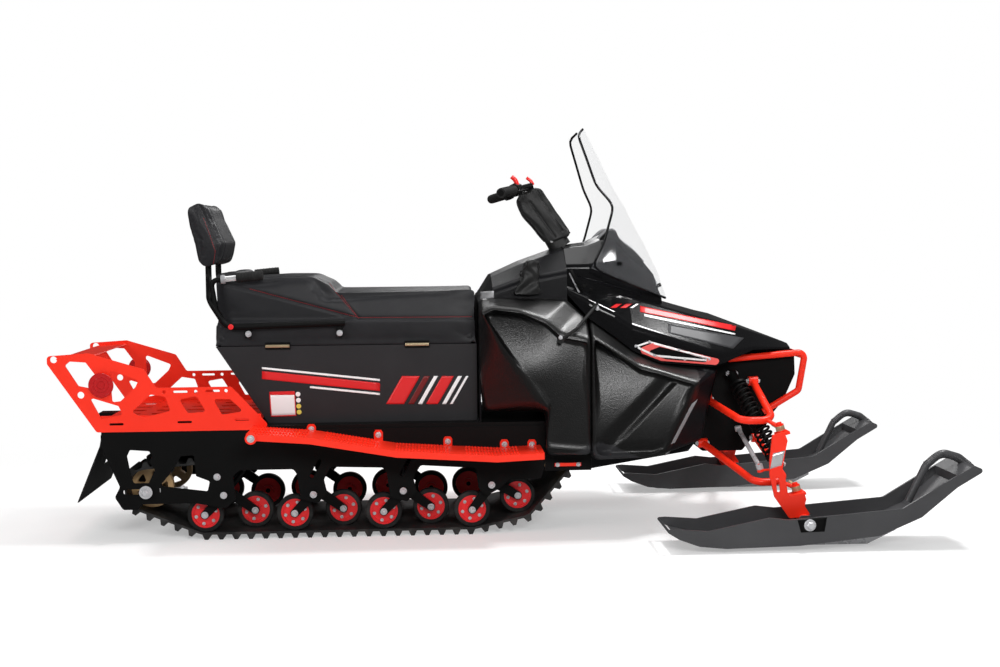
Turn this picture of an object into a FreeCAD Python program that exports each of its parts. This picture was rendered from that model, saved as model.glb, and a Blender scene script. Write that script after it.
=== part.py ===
import FreeCAD, Part
import math
import os

# Two-seat utility snowmobile with a wide track.
# Millimetres, +X forward, +Y to the rider's left, +Z up.  The origin lies on the
# ground, under the middle of the machine's length, on its plane of symmetry.
# The driving dimensions are the cells of the sheet "sizes".  Outlines are tables of
# shares of the piece that they belong to, and a pair is one side and its mirror.

Vector = FreeCAD.Vector
doc = FreeCAD.newDocument("snowmobile")
sheet = doc.addObject("Spreadsheet::Sheet", "sizes")

SIZES = {
    # Whole machine
    "machine_length": 3196,
    "ski_stance": 1000,
    "fit_gap": 0.2,
    "seat_gap": 0.3,
    "running_gap": 7,
    "cut_overrun": 6,
    "mid_share": 0.5,
    # Track and its path
    "track_width": 500,
    "belt_thickness": 8,
    "lug_height": 18,
    "lug_pitch": 52,
    "lug_base": 30,
    "lug_tip": 12,
    "lug_row_width": 132,
    # Road wheels
    "wheel_radius": 65,
    "wheel_width": 25,
    "tyre_bore": 50,
    "disc_web": 6,
    "hub_radius": 20,
    "wheel_axle_radius": 8,
    "outer_wheel_y": 232,
    "inner_wheel_y": 168,
    # Bogies
    "bogie_setback": 418,
    "bogie_last_x": -57,
    "bogie_rise": 72,
    "bogie_back_reach": 70,
    "bogie_front_reach": 98,
    "front_bogie_lift": 20,
    "front_wheel_lift": 35,
    "bogie_shaft_radius": 11,
    "bogie_arm_thickness": 10,
    "bogie_arm_radius": 19,
    "bogie_end_radius": 15,
    "bogie_arm_gap": 4,
    # Rear axle, idlers and drive
    "rear_axle_setback": 151,
    "rear_axle_z": 182,
    "rear_axle_radius": 10,
    "rear_slot_length": 90,
    "axle_head_radius": 20,
    "axle_head_thickness": 9,
    "idler_radius": 75,
    "idler_width": 22,
    "idler_y": 170,
    "drive_x": 170,
    "drive_z": 290,
    "drive_radius": 75,
    "drive_width": 44,
    "drive_y": 110,
    "drive_shaft_radius": 13,
    # Tunnel and side frame plates
    "deck_z": 408,
    "tunnel_sheet": 3,
    "tunnel_half_width": 272,
    "tunnel_flange": 58,
    "tunnel_rear_x": -1422,
    "tunnel_front_x": 300,
    "frame_plate_thickness": 5,
    "plate_top_z": 395,
    "plate_low_z": 119,
    "plate_overhang": 1,
    "plate_front_x": 134,
    "plate_corner": 14,
    "lobe_size": 60,
    # Mud flap
    "flap_half_width": 225,
    "flap_thickness": 5,
    "flap_fold_drop": 70,
    "flap_reach": 98,
    "flap_low_z": 138,
    "flap_window_low_z": 240,
    "flap_window_high_z": 320,
    # Rack
    "rack_front_x": -843,
    "rack_top_z": 673,
    "rack_plate_thickness": 5,
    "rack_corner": 12,
    "rack_deck_z": 430,
    "rack_sheet": 3,
    "rack_deck_flange": 22,
    "rack_slot_radius": 14,
    "tail_lamp_radius": 40,
    "tail_lamp_depth": 14,
    # Tow hitch
    "hitch_width": 60,
    "hitch_length": 150,
    "hitch_height": 22,
    "hitch_pin_radius": 10,
    # Footboards
    "board_rear_x": -894,
    "board_front_x": 117,
    "board_rear_z": 408,
    "board_front_z": 318,
    "board_outer_y": 450,
    "board_sheet": 4,
    "board_rim": 22,
    # Cargo box
    "box_half_width": 212,
    "box_wall": 4,
    "box_top_z": 684,
    "box_rear_x": -1028,
    "box_rear_foot_x": -849,
    "box_front_x": -104,
    # Hinges of the seat lid
    "hinge_offset": 7,
    "hinge_knuckle_radius": 5,
    "hinge_pin_radius": 2,
    "hinge_length": 88,
    "hinge_leaf": 2,
    "hinge_leaf_height": 13,
    "hinge_rear_x": -810,
    "hinge_front_x": -317,
    # Seat
    "lid_gap": 1,
    "seat_base_height": 84,
    "seat_base_wall": 5,
    "seat_rear_x": -1029,
    "seat_front_x": -104,
    "seat_half_width": 205,
    "seat_top_z": 947,
    "seat_rider_z": 869,
    "seat_corner": 26,
    # Backrest and its tube frame
    "backrest_half_width": 165,
    "backrest_low_z": 959,
    "backrest_top_z": 1201,
    "backrest_rear_x": -1127,
    "backrest_depth": 123,
    "rest_tube_radius": 11,
    "rest_tube_y": 232,
    "rest_rail_z": 760,
    "rest_rail_front_x": -570,
    "rest_post_y": 105,
    "rest_bend": 45,
    "grab_radius": 17,
    "grab_bar_radius": 9,
    "grab_length": 92,
    # Bulkhead
    "bulkhead_rear_x": 690,
    "bulkhead_front_x": 1084,
    "bulkhead_top_z": 640,
    "bulkhead_low_z": 262,
    "bulkhead_half_width": 105,
    "bulkhead_wall": 4,
    # Belly pan
    "belly_front_x": 700,
    "belly_rear_z": 236,
    "belly_front_z": 292,
    "belly_wall": 4,
    "belly_rise": 150,
    # Engine
    "engine_length": 292,
    "engine_width": 300,
    "engine_height": 300,
    "engine_rear_x": 345,
    # Bumper
    "bumper_radius": 12,
    "bumper_y": 132,
    "bumper_rear_x": 826,
    "bumper_rear_z": 608,
    "bumper_top_z": 630,
    "bumper_front_x": 1114,
    "bumper_knee_x": 1090,
    "bumper_knee_z": 488,
    "bumper_low_x": 962,
    "bumper_low_z": 408,
    "bumper_bend": 22,
    # Front suspension arms
    "arm_radius": 13,
    "arm_bend": 45,
    "mount_radius": 17,
    "mount_length": 34,
    "upper_arm_inner_y": 150,
    "upper_arm_rear_x": 743,
    "upper_arm_rear_z": 463,
    "upper_arm_front_x": 914,
    "upper_arm_front_z": 527,
    "upper_arm_outer_y": 400,
    "upper_arm_outer_rear_x": 812,
    "upper_arm_outer_front_x": 925,
    "upper_arm_outer_z": 418,
    "lower_arm_inner_y": 125,
    "lower_arm_rear_x": 733,
    "lower_arm_rear_z": 296,
    "lower_arm_front_x": 935,
    "lower_arm_front_z": 312,
    "lower_arm_outer_y": 418,
    "lower_arm_outer_rear_x": 856,
    "lower_arm_outer_front_x": 968,
    "lower_arm_outer_z": 204,
    "eye_radius": 15,
    "eye_height": 24,
    "eye_stem_radius": 7,
    # King pin
    "king_pin_y": 460,
    "king_top_x": 930,
    "king_top_z": 400,
    "king_low_x": 988,
    "king_low_z": 189,
    "king_pin_radius": 6,
    "king_pin_clearance": 0.3,
    # Shock absorbers
    "shock_top_x": 836,
    "shock_top_y": 150,
    "shock_top_z": 556,
    "shock_low_x": 946,
    "shock_low_y": 396,
    "shock_low_z": 262,
    "shock_body_radius": 18,
    "shock_rod_radius": 8,
    "shock_eye_radius": 14,
    "shock_eye_width": 26,
    "spring_radius": 28,
    "spring_wire": 4.5,
    "spring_pitch": 21,
    # Spindles
    "spindle_y": 494,
    "spindle_thickness": 8,
    "spindle_top_z": 392,
    "spindle_low_z": 93,
    "spindle_rear_x": 884,
    "spindle_front_x": 1030,
    "spindle_tab_thickness": 9,
    "spindle_corner": 9,
    "steer_arm_x": 866,
    "steer_arm_y": 436,
    "steer_arm_z": 262,
    "steer_bar_radius": 4,
    "tie_rod_inner_x": 856,
    "tie_rod_inner_y": 170,
    "tie_rod_inner_z": 355,
    "tie_rod_radius": 9,
    "tie_eye_radius": 12,
    "tie_pin_radius": 5,
    # Skis
    "ski_pivot_x": 1004,
    "ski_pivot_z": 88,
    "ski_pin_radius": 7,
    "ski_boss_radius": 19,
    "ski_boss_width": 44,
    "ski_tail_x": 502,
    "ski_width": 200,
    "ski_wall": 9,
    "ski_floor": 11,
    "ski_top_z": 292,
    "ski_runner_width": 14,
    "ski_runner_drop": 16,
    "ski_cheek_thickness": 8,
    "ski_cheek_length": 120,
    "loop_radius": 13,
    "loop_bend": 40,
    # Steering
    "post_top_x": 97,
    "post_rise": 204,
    "post_low_x": 300,
    "post_low_z": 884,
    "post_radius": 15,
    "bar_radius": 11,
    "bar_half_width": 362,
    "bar_back": 112,
    "bar_drop": 30,
    "bar_bend": 50,
    "grip_radius": 17,
    "grip_length": 120,
    "riser_width": 104,
    "riser_corner": 16,
    "bearing_radius": 27,
    "bearing_length": 44,
    "bearing_leg_radius": 12,
    # Body shells
    "panel_wall": 5,
    "panel_outer_y": 380,
    "seam_x": 288,
    "knee_low_z": 285,
    "knee_top_z": 862,
    "side_front_x": 760,
    "side_low_z": 262,
    "side_top_z": 755,
    "console_rear_x": -97,
    "console_front_x": 216,
    "console_low_z": 780,
    "console_top_z": 1030,
    "hood_rear_x": 219,
    "hood_front_x": 1066,
    "hood_half_width": 300,
    "hood_top_z": 1041,
    # Windshield
    "glass_thickness": 4,
    "glass_rear_x": 268,
    "glass_front_x": 620,
    "glass_half_width": 300,
    "glass_low_z": 826,
    "glass_top_z": 1460,
    "stud_radius": 7,
    # Head lamps
    "lamp_radius": 36,
    "lamp_y": 50,
    "lamp_z": 868,
    "lamp_front_x": 566,
    "lamp_length": 60,
    # Vent frames and rubber straps on the hood, and the gear lever's gaiter
    "vent_thickness": 4,
    "vent_frame_share": 0.72,
    "strap_radius": 6,
    "strap_eye_radius": 11,
    "strap_eye_height": 12,
    "gaiter_x": 72,
    "gaiter_low_z": 858,
    "gaiter_top_z": 984,
    "gaiter_y": 205,
    "gaiter_length": 112,
    "gaiter_width": 92,
}


def fill_sheet():
    """Writes every driving dimension as a text cell with an alias."""
    for row, (alias, value) in enumerate(SIZES.items(), start=1):
        sheet.set("A%d" % row, alias)
        sheet.set("B%d" % row, str(value))
        sheet.setAlias("B%d" % row, alias)
    doc.recompute()


class Sizes:
    """Reads a driving dimension from the sheet by its alias."""

    def __getattr__(self, alias):
        return float(sheet.get(alias))


size = Sizes()
NODES = []


def node(label, item):
    """Names an object as a sub-part that is written to its own file."""
    item.Label = label
    NODES.append(item)
    return item


# Outlines

def spread(shares, x, z, length, height):
    """Outline points from shares of a piece's length and height."""
    return [(x + a * length, z + b * height) for a, b in shares]


def rounded(points, radius, close=True):
    """Lines and arcs through 2-D or 3-D points, each inner corner an arc."""
    spots = [Vector(*p) for p in points]
    count = len(spots)
    corners = range(count) if close else range(1, count - 1)
    ends = {i: (spots[i], spots[i]) for i in range(count)}
    arcs = {}
    for i in corners:
        before = spots[i - 1] - spots[i]
        after = spots[(i + 1) % count] - spots[i]
        turn = math.pi - before.getAngle(after)
        reach = min(before.Length, after.Length) * size.mid_share
        if radius <= 0 or abs(math.sin(turn)) < 1e-4:
            continue
        cut = min(radius * math.tan(turn / 2), reach * 0.96)
        bend = cut / math.tan(turn / 2)
        before.normalize()
        after.normalize()
        half = (before + after).normalize()
        middle = spots[i] + half * (bend / math.cos(turn / 2) - bend)
        ends[i] = (spots[i] + before * cut, spots[i] + after * cut)
        arcs[i] = Part.Arc(ends[i][0], middle, ends[i][1])
    shapes = []
    for i in range(count):
        if i in arcs:
            shapes.append(arcs[i])
        if close or i < count - 1:
            start, stop = ends[i][1], ends[(i + 1) % count][0]
            if (stop - start).Length > 1e-3:
                shapes.append(Part.LineSegment(start, stop))
    return shapes


def slot(x, z, length, radius, angle=0.0):
    """A straight slot with round ends, centred at a point."""
    c, s = math.cos(math.radians(angle)), math.sin(math.radians(angle))
    half = length / 2
    ax, az = x - half * c, z - half * s
    bx, bz = x + half * c, z + half * s
    nx, nz = -s * radius, c * radius
    return [
        Part.LineSegment(Vector(ax - nx, az - nz), Vector(bx - nx, bz - nz)),
        Part.Arc(Vector(bx - nx, bz - nz), Vector(bx + c * radius, bz + s * radius),
                 Vector(bx + nx, bz + nz)),
        Part.LineSegment(Vector(bx + nx, bz + nz), Vector(ax + nx, az + nz)),
        Part.Arc(Vector(ax + nx, az + nz), Vector(ax - c * radius, az - s * radius),
                 Vector(ax - nx, az - nz)),
    ]


def ring(x, z, radius):
    """A full circle at a point."""
    return [Part.Circle(Vector(x, z), Vector(0, 0, 1), radius)]


def belt_run(circles, offset):
    """Lines and arcs of a belt run outside circles given anticlockwise as (x, z, radius)."""
    count = len(circles)
    normals = []
    for i in range(count):
        ax, az, ar = circles[i]
        bx, bz, br = circles[(i + 1) % count]
        along = Vector(bx - ax, bz - az)
        gap = along.Length
        along.normalize()
        lean = (ar - br) / gap
        side = Vector(along.y, -along.x)
        normals.append(side * math.sqrt(1 - lean * lean) + along * lean)
    shapes = []
    for i in range(count):
        x, z, radius = circles[i]
        centre = Vector(x, z)
        first, last = normals[i - 1], normals[i]
        start = math.atan2(first.y, first.x)
        sweep = (math.atan2(last.y, last.x) - start) % (2 * math.pi)
        reach = radius + offset
        middle = Vector(math.cos(start + sweep / 2), math.sin(start + sweep / 2))
        if sweep > 1e-3:
            shapes.append(Part.Arc(centre + first * reach, centre + middle * reach,
                                   centre + last * reach))
        bx, bz, br = circles[(i + 1) % count]
        shapes.append(Part.LineSegment(centre + last * reach, Vector(bx, bz) + last * (br + offset)))
    return shapes


# Solids

PLANES = {"side": "XZ_Plane", "front": "YZ_Plane", "top": "XY_Plane"}


def pad(name, plane, loops, start, depth):
    """A body with one sketch on an origin plane, padded; start and depth are expressions.

    A side sketch lies in X and Z and grows towards -Y, a front sketch lies in Y and Z and
    grows towards +X, and a top sketch lies in X and Y and grows towards +Z.
    """
    body = doc.addObject("PartDesign::Body", name)
    origin = [f for f in body.Origin.OriginFeatures if f.Role == PLANES[plane]][0]
    sketch = body.newObject("Sketcher::SketchObject", name + "_sketch")
    sketch.AttachmentSupport = [(origin, "")]
    sketch.MapMode = "FlatFace"
    sketch.setExpression("AttachmentOffset.Base.z", start)
    for loop in loops:
        sketch.addGeometry(loop)
    grow = body.newObject("PartDesign::Pad", name + "_pad")
    grow.Profile = sketch
    grow.setExpression("Length", depth)
    return body


def lathe(name, points):
    """A body turned about its own Y axis from an outline of (radius, y) points."""
    body = doc.addObject("PartDesign::Body", name)
    origin = [f for f in body.Origin.OriginFeatures if f.Role == "XY_Plane"][0]
    sketch = body.newObject("Sketcher::SketchObject", name + "_sketch")
    sketch.AttachmentSupport = [(origin, "")]
    sketch.MapMode = "FlatFace"
    sketch.addGeometry(rounded(points, 0))
    turn = body.newObject("PartDesign::Revolution", name + "_turn")
    turn.Profile = sketch
    turn.ReferenceAxis = (sketch, ["V_Axis"])
    return body


def rod(name, start, stop, radius):
    """A straight round bar between two points; its radius is an expression."""
    bar = doc.addObject("Part::Cylinder", name)
    along = Vector(*stop) - Vector(*start)
    bar.setExpression("Radius", radius)
    bar.Height = along.Length
    bar.Placement = FreeCAD.Placement(Vector(*start), FreeCAD.Rotation(Vector(0, 0, 1), along))
    return bar


def block(name, low, high):
    """A box between two corners."""
    solid = doc.addObject("Part::Box", name)
    solid.Length, solid.Width, solid.Height = (b - a for a, b in zip(low, high))
    solid.Placement.Base = Vector(*low)
    return solid


def bent_tube(name, points, radius, bend):
    """A round bar swept along straight runs joined by tangent arcs."""
    path = doc.addObject("Part::Feature", name + "_path")
    path.Shape = Part.Wire([g.toShape() for g in rounded(points, bend, close=False)])
    circle = doc.addObject("Part::Circle", name + "_round")
    circle.setExpression("Radius", radius)
    first = Vector(*points[1]) - Vector(*points[0])
    circle.Placement = FreeCAD.Placement(Vector(*points[0]), FreeCAD.Rotation(Vector(0, 0, 1), first))
    sweep = doc.addObject("Part::Sweep", name)
    sweep.Sections = [circle]
    sweep.Spine = (path, ["Edge%d" % (i + 1) for i in range(len(path.Shape.Edges))])
    sweep.Solid = True
    return sweep


def fuse(name, pieces):
    joined = doc.addObject("Part::MultiFuse", name)
    joined.Shapes = pieces
    return joined


def cut(name, base, tool):
    result = doc.addObject("Part::Cut", name)
    result.Base = base
    result.Tool = tool
    return result


def group(name, pieces):
    result = doc.addObject("Part::Compound", name)
    result.Links = pieces
    return result


def mirror(name, source):
    other = doc.addObject("Part::Mirroring", name)
    other.Source = source
    other.Normal = Vector(0, 1, 0)
    return other


def pair(label, source):
    """A node of a right-hand piece and its mirror."""
    return node(label, group(label, [source, mirror(label + "_other", source)]))


def copies(label, source, places):
    """One node of equal pieces, each moved to its place."""
    doc.recompute()
    result = doc.addObject("Part::Feature", label)
    shapes = []
    for place in places:
        shape = source.Shape.copy()
        shape.translate(Vector(*place))
        shapes.append(shape)
    result.Shape = Part.makeCompound(shapes)
    return result


def loft(name, sections, ruled=False):
    body = doc.addObject("Part::Loft", name)
    body.Sections = sections
    body.Solid = True
    body.Ruled = ruled
    return body


# Places that more than one piece needs

def wheel_z():
    return size.lug_height + size.belt_thickness + size.wheel_radius


def bogie_first_x():
    return size.tunnel_rear_x + size.bogie_setback


def rear_axle_x():
    return size.tunnel_rear_x + size.rear_axle_setback


def plate_rear_x():
    return size.tunnel_rear_x - size.plate_overhang


def bogies():
    """Each bogie as its pivot, its outer wheel and its inner wheel, in X and Z."""
    places = []
    pitch = (size.bogie_last_x - bogie_first_x()) / (BOGIE_COUNT - 1)
    for i in range(BOGIE_COUNT):
        x = bogie_first_x() + i * pitch
        z = wheel_z() + size.bogie_rise
        outer = (x - size.bogie_back_reach, wheel_z())
        inner = (x + size.bogie_front_reach, wheel_z())
        if i == BOGIE_COUNT - 1:
            z += size.front_bogie_lift
            inner = (inner[0], inner[1] + size.front_wheel_lift)
        places.append(((x, z), outer, inner))
    return places


def track_circles():
    """The wheels that the track wraps, anticlockwise from the rear idler."""
    all_bogies = bogies()
    wheel = size.wheel_radius
    return [
        (rear_axle_x(), size.rear_axle_z, size.idler_radius),
        all_bogies[0][1] + (wheel,),
        all_bogies[-1][1] + (wheel,),
        all_bogies[-1][2] + (wheel,),
        (size.drive_x, size.drive_z, size.drive_radius),
    ]


def king_axis():
    """Upward unit vector of the king pin and the two points that it passes."""
    low = Vector(size.king_low_x, -size.king_pin_y, size.king_low_z)
    top = Vector(size.king_top_x, -size.king_pin_y, size.king_top_z)
    return (top - low).normalize(), low, top


BOGIE_COUNT = 4


# Track

def walk(shapes, distance):
    """Point and outward normal at a distance along a closed run of lines and arcs."""
    for shape in shapes:
        length = shape.length()
        if distance <= length:
            at = shape.parameterAtDistance(distance, shape.FirstParameter)
            tangent = Vector(*shape.tangent(at)[0])
            return shape.value(at), Vector(tangent.y, -tangent.x)
        distance -= length
    return walk(shapes[:1], 0.0)


def toothed_outline(shift):
    """The track's outside: flat lugs at an even pitch, shifted by a share of it."""
    run = belt_run(track_circles(), size.belt_thickness)
    total = sum(s.length() for s in run)
    count = round(total / size.lug_pitch)
    points = []
    for i in range(count):
        middle = (i + shift) * total / count
        for half, rise in ((-size.lug_base, 0), (-size.lug_tip, size.lug_height),
                           (size.lug_tip, size.lug_height), (size.lug_base, 0)):
            spot, normal = walk(run, (middle + half / 2) % total)
            points.append(tuple(spot + normal * rise)[:2])
    return rounded(points, 0)


def make_track():
    inside = belt_run(track_circles(), 0)
    plain = belt_run(track_circles(), size.belt_thickness)
    rows = [toothed_outline(0.0), plain, toothed_outline(0.5), plain, toothed_outline(0.0)]
    row, band = "sizes.lug_row_width", "(sizes.track_width - 3 * sizes.lug_row_width) / 2"
    starts = ["-sizes.track_width / 2"]
    widths = [row, band, row, band, row]
    for width in widths[:-1]:
        starts.append("%s + %s" % (starts[-1], width))
    slices = []
    for i, (outside, start, width) in enumerate(zip(rows, starts, widths)):
        slices.append(pad("track_slice_%d" % i, "side", [outside, inside], start, width))
    node("track", fuse("track", slices))


# Road wheels, bogies and axles

def make_wheels():
    half, outer, bore = size.wheel_width / 2, size.wheel_radius, size.tyre_bore
    bevel = half / 5
    tyre = lathe("tyre", [(bore, -half), (outer - bevel, -half), (outer, bevel - half),
                          (outer, half - bevel), (outer - bevel, half), (bore, half)])
    rim, web, hub = bore - size.fit_gap, size.disc_web / 2, size.hub_radius
    axle = size.wheel_axle_radius + size.fit_gap
    lip = rim - web * 2
    disc = lathe("disc", [(axle, -half), (hub, -half), (hub, -web), (lip, -web), (lip, -half + web),
                          (rim, -half + web), (rim, half - web), (lip, half - web), (lip, web),
                          (hub, web), (hub, half), (axle, half)])
    places = []
    for _, outer_spot, inner_spot in bogies():
        for side in (-1, 1):
            places.append((outer_spot[0], side * size.outer_wheel_y, outer_spot[1]))
            places.append((inner_spot[0], side * size.inner_wheel_y, inner_spot[1]))
    node("wheel_tyres", copies("wheel_tyres", tyre, places))
    node("wheel_discs", copies("wheel_discs", disc, places))


def arm_link(name, pivot, end, start):
    """A flat link round two points, tapering to its end."""
    ends = [pivot + (size.bogie_arm_radius,), end + (size.bogie_end_radius,)]
    return pad(name, "side", [belt_run(ends, 0)], start, "sizes.bogie_arm_thickness")


def make_bogies():
    made = []
    plate_face = size.tunnel_half_width + size.frame_plate_thickness
    for i, (pivot, outer, inner) in enumerate(bogies()):
        name = "bogie_%d_" % i
        ends = [(pivot[0], -plate_face - size.bogie_arm_thickness, pivot[1]),
                (pivot[0], plate_face + size.bogie_arm_thickness, pivot[1])]
        right = [
            arm_link(name + "outer", pivot, outer,
                     "sizes.outer_wheel_y + sizes.wheel_width / 2 + sizes.bogie_arm_gap"),
            arm_link(name + "inner", pivot, inner,
                     "sizes.inner_wheel_y + sizes.wheel_width / 2 + sizes.bogie_arm_gap"),
        ]
        for tag, spot, y in (("outer", outer, size.outer_wheel_y), ("inner", inner, size.inner_wheel_y)):
            reach = size.wheel_width / 2 + size.bogie_arm_gap
            right.append(rod(name + tag + "_stub", (spot[0], -y - reach - size.bogie_arm_thickness / 2,
                                                    spot[1]),
                             (spot[0], reach - y, spot[1]), "sizes.wheel_axle_radius"))
        side = fuse(name + "right", right)
        shaft = rod(name + "shaft", ends[0], ends[1], "sizes.bogie_shaft_radius")
        made.append(fuse(name + "whole", [side, mirror(name + "left", side), shaft]))
    node("bogie_arms", group("bogie_arms", made))


IDLER_WINDOW_SHARES = (0.42, 0.80)
IDLER_WINDOWS = 5
IDLER_WINDOW_WIDTH_SHARE = 0.62


def star_wheel(name, radius, width, bore):
    """A moulded wheel with windows between its spokes, centred at the origin."""
    loops = [ring(0, 0, radius), ring(0, 0, bore)]
    inner, outer = (radius * s for s in IDLER_WINDOW_SHARES)
    for i in range(IDLER_WINDOWS):
        middle = 2 * math.pi * i / IDLER_WINDOWS
        spread_angle = math.pi / IDLER_WINDOWS * IDLER_WINDOW_WIDTH_SHARE
        points = []
        for reach, angle in ((inner, -0.45), (outer, -1.0), (outer, 1.0), (inner, 0.45)):
            at = middle + angle * spread_angle
            points.append((reach * math.cos(at), reach * math.sin(at)))
        loops.append(rounded(points, width / 4))
    body = pad(name, "side", loops, "-%s / 2" % width, "%s" % width)
    return body


def make_axles():
    idler = star_wheel("idler", size.idler_radius - size.fit_gap, size.idler_width,
                       size.rear_axle_radius + size.fit_gap)
    spots = [(rear_axle_x(), side * size.idler_y, size.rear_axle_z) for side in (-1, 1)]
    node("rear_idlers", copies("rear_idlers", idler, spots))
    face = size.tunnel_half_width + size.frame_plate_thickness
    x, z = rear_axle_x(), size.rear_axle_z
    shaft = rod("rear_shaft", (x, -face, z), (x, face, z), "sizes.rear_axle_radius")
    heads = []
    for side in (-1, 1):
        inside, outside = side * face, side * (face + size.axle_head_thickness)
        heads.append(rod("rear_head_%d" % (side + 1), (x, inside, z), (x, outside, z),
                         "sizes.axle_head_radius"))
    node("rear_axle", fuse("rear_axle", [shaft] + heads))
    sprocket = star_wheel("sprocket", size.drive_radius - size.fit_gap, size.drive_width,
                          size.drive_shaft_radius + size.fit_gap)
    spots = [(size.drive_x, side * size.drive_y, size.drive_z) for side in (-1, 1)]
    node("drive_sprockets", copies("drive_sprockets", sprocket, spots))
    wide = size.tunnel_half_width
    node("drive_shaft", rod("drive_shaft", (size.drive_x, -wide, size.drive_z),
                            (size.drive_x, wide, size.drive_z), "sizes.drive_shaft_radius"))


# Tunnel, side frame plates and mud flap

REAR_BLOCK_SHARES = [(0.0, 1.0), (0.0, 0.815), (0.146, 0.297), (0.10, 0.163), (0.167, 0.0),
                     (0.296, 0.0), (0.322, 0.07), (0.761, 0.07)]
REAR_LOBE_SHARES = [(0.13, -0.75), (0.72, -0.23), (0.58, 1.15), (1.0, 1.5)]
MIDDLE_LOBE_SHARES = [(-1.15, 1.5), (-0.95, 1.2), (-0.75, -0.3), (0.25, -0.55), (0.8, 0.05),
                      (0.62, 0.85), (1.05, 1.6)]
FRONT_LOBE_SHARES = [(-0.95, 1.05), (-0.78, -0.17), (-0.35, -0.65), (0.48, -0.2), (1.05, 0.33)]
PLATE_HOLE_SHARES = [
    [(0.236, 0.77), (0.394, 0.75), (0.418, 0.69), (0.391, 0.61), (0.439, 0.51), (0.384, 0.34),
     (0.26, 0.34), (0.239, 0.435), (0.21, 0.69)],
    [(0.656, 0.68), (0.764, 0.69), (0.776, 0.42), (0.89, 0.35), (0.87, 0.22), (0.475, 0.30),
     (0.587, 0.504)],
]
PLATE_SLOT_SHARE = (0.15, 1.5)
SLOT_LEAN = 62


def frame_plate_loops():
    length = bogie_first_x() - plate_rear_x()
    height = size.plate_top_z - size.plate_low_z
    x, z = plate_rear_x(), size.plate_low_z
    outline = spread(REAR_BLOCK_SHARES, x, z, length, height)
    tables = [REAR_LOBE_SHARES] + [MIDDLE_LOBE_SHARES] * (BOGIE_COUNT - 2) + [FRONT_LOBE_SHARES]
    for table, (pivot, _, _) in zip(tables, bogies()):
        outline += spread(table, pivot[0], pivot[1], size.lobe_size, size.lobe_size)
    front_low = outline[-1][1]
    outline += [(size.plate_front_x - size.plate_corner, front_low),
                (size.plate_front_x, front_low + size.lobe_size), (size.plate_front_x, size.plate_top_z)]
    loops = [rounded(outline, size.plate_corner)]
    for hole in PLATE_HOLE_SHARES:
        loops.append(rounded(spread(hole, x, z, length, height), size.plate_corner / 2))
    for pivot, _, _ in bogies():
        loops.append(ring(pivot[0], pivot[1], size.bogie_shaft_radius + size.fit_gap))
    for pivot, _, _ in bogies()[1:-1]:
        at = spread([PLATE_SLOT_SHARE], pivot[0], pivot[1], size.lobe_size, size.lobe_size)[0]
        loops.append(slot(at[0], at[1], size.lobe_size, size.plate_corner / 2, SLOT_LEAN))
    half = size.rear_slot_length / 2
    loops.append(slot(rear_axle_x() - half + size.rear_axle_radius, size.rear_axle_z,
                      size.rear_slot_length - 2 * size.rear_axle_radius,
                      size.rear_axle_radius + size.fit_gap))
    return loops


def make_frame():
    plate = pad("frame_plate", "side", frame_plate_loops(), "sizes.tunnel_half_width",
                "sizes.frame_plate_thickness")
    pair("frame_plates", plate)
    wide, top, sheet_metal = size.tunnel_half_width, size.deck_z, size.tunnel_sheet
    low = top - size.tunnel_flange
    section = [(-wide, low), (-wide, top), (wide, top), (wide, low), (wide - sheet_metal, low),
               (wide - sheet_metal, top - sheet_metal), (sheet_metal - wide, top - sheet_metal),
               (sheet_metal - wide, low)]
    channel = pad("tunnel_channel", "front", [rounded(section, 0)], "sizes.tunnel_rear_x",
                  "sizes.tunnel_front_x - sizes.tunnel_rear_x")
    rear, front = size.plate_front_x + size.seat_gap, size.tunnel_front_x
    cheek_low = size.drive_z - size.lobe_size
    cheek = pad("tunnel_cheek", "side",
                [rounded([(rear, low), (rear, cheek_low), (front, cheek_low), (front, top), (rear, top)],
                         0),
                 ring(size.drive_x, size.drive_z, size.drive_shaft_radius + size.fit_gap)],
                "sizes.tunnel_half_width - sizes.tunnel_sheet", "sizes.tunnel_sheet")
    node("tunnel", fuse("tunnel", [channel, cheek, mirror("tunnel_cheek_left", cheek)]))


def make_mud_flap():
    x, top = size.tunnel_rear_x - size.seat_gap, size.deck_z
    fold_x, fold_z = x - size.flap_fold_drop / 5, top - size.flap_fold_drop
    thick = size.flap_thickness
    outline = [(x, top), (fold_x, fold_z), (x - size.flap_reach, size.flap_low_z),
               (x - size.flap_reach - thick, size.flap_low_z), (fold_x - thick, fold_z), (x - thick, top)]
    flap = pad("flap_sheet", "side", [rounded(outline, 0)], "-sizes.flap_half_width",
               "2 * sizes.flap_half_width")
    half, low, high = size.hitch_width / 2, size.flap_window_low_z, size.flap_window_high_z
    window = block("flap_window", (x - size.flap_reach * 2, -half, low), (x, half, high))
    node("mud_flap", cut("mud_flap", flap, window))


# Rack

RACK_OUTLINE_SHARES = [(0.0, 0.87), (0.0, 0.97), (0.187, 1.0), (0.437, 0.79), (0.49, 0.555),
                       (0.835, 0.555), (1.0, 0.07), (0.985, 0.0), (0.215, 0.0)]
RACK_OPENING_SHARES = [
    [(0.08, 0.85), (0.103, 0.90), (0.175, 0.885), (0.226, 0.69), (0.225, 0.54), (0.139, 0.59)],
    [(0.192, 0.42), (0.205, 0.43), (0.318, 0.33), (0.335, 0.22), (0.238, 0.17)],
    [(0.282, 0.79), (0.412, 0.65), (0.397, 0.565), (0.327, 0.39), (0.29, 0.38)],
    [(0.376, 0.25), (0.465, 0.47), (0.532, 0.44), (0.554, 0.26), (0.43, 0.18)],
    [(0.596, 0.405), (0.674, 0.44), (0.718, 0.24), (0.632, 0.23)],
    [(0.752, 0.40), (0.83, 0.395), (0.889, 0.24), (0.79, 0.20)],
]
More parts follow.
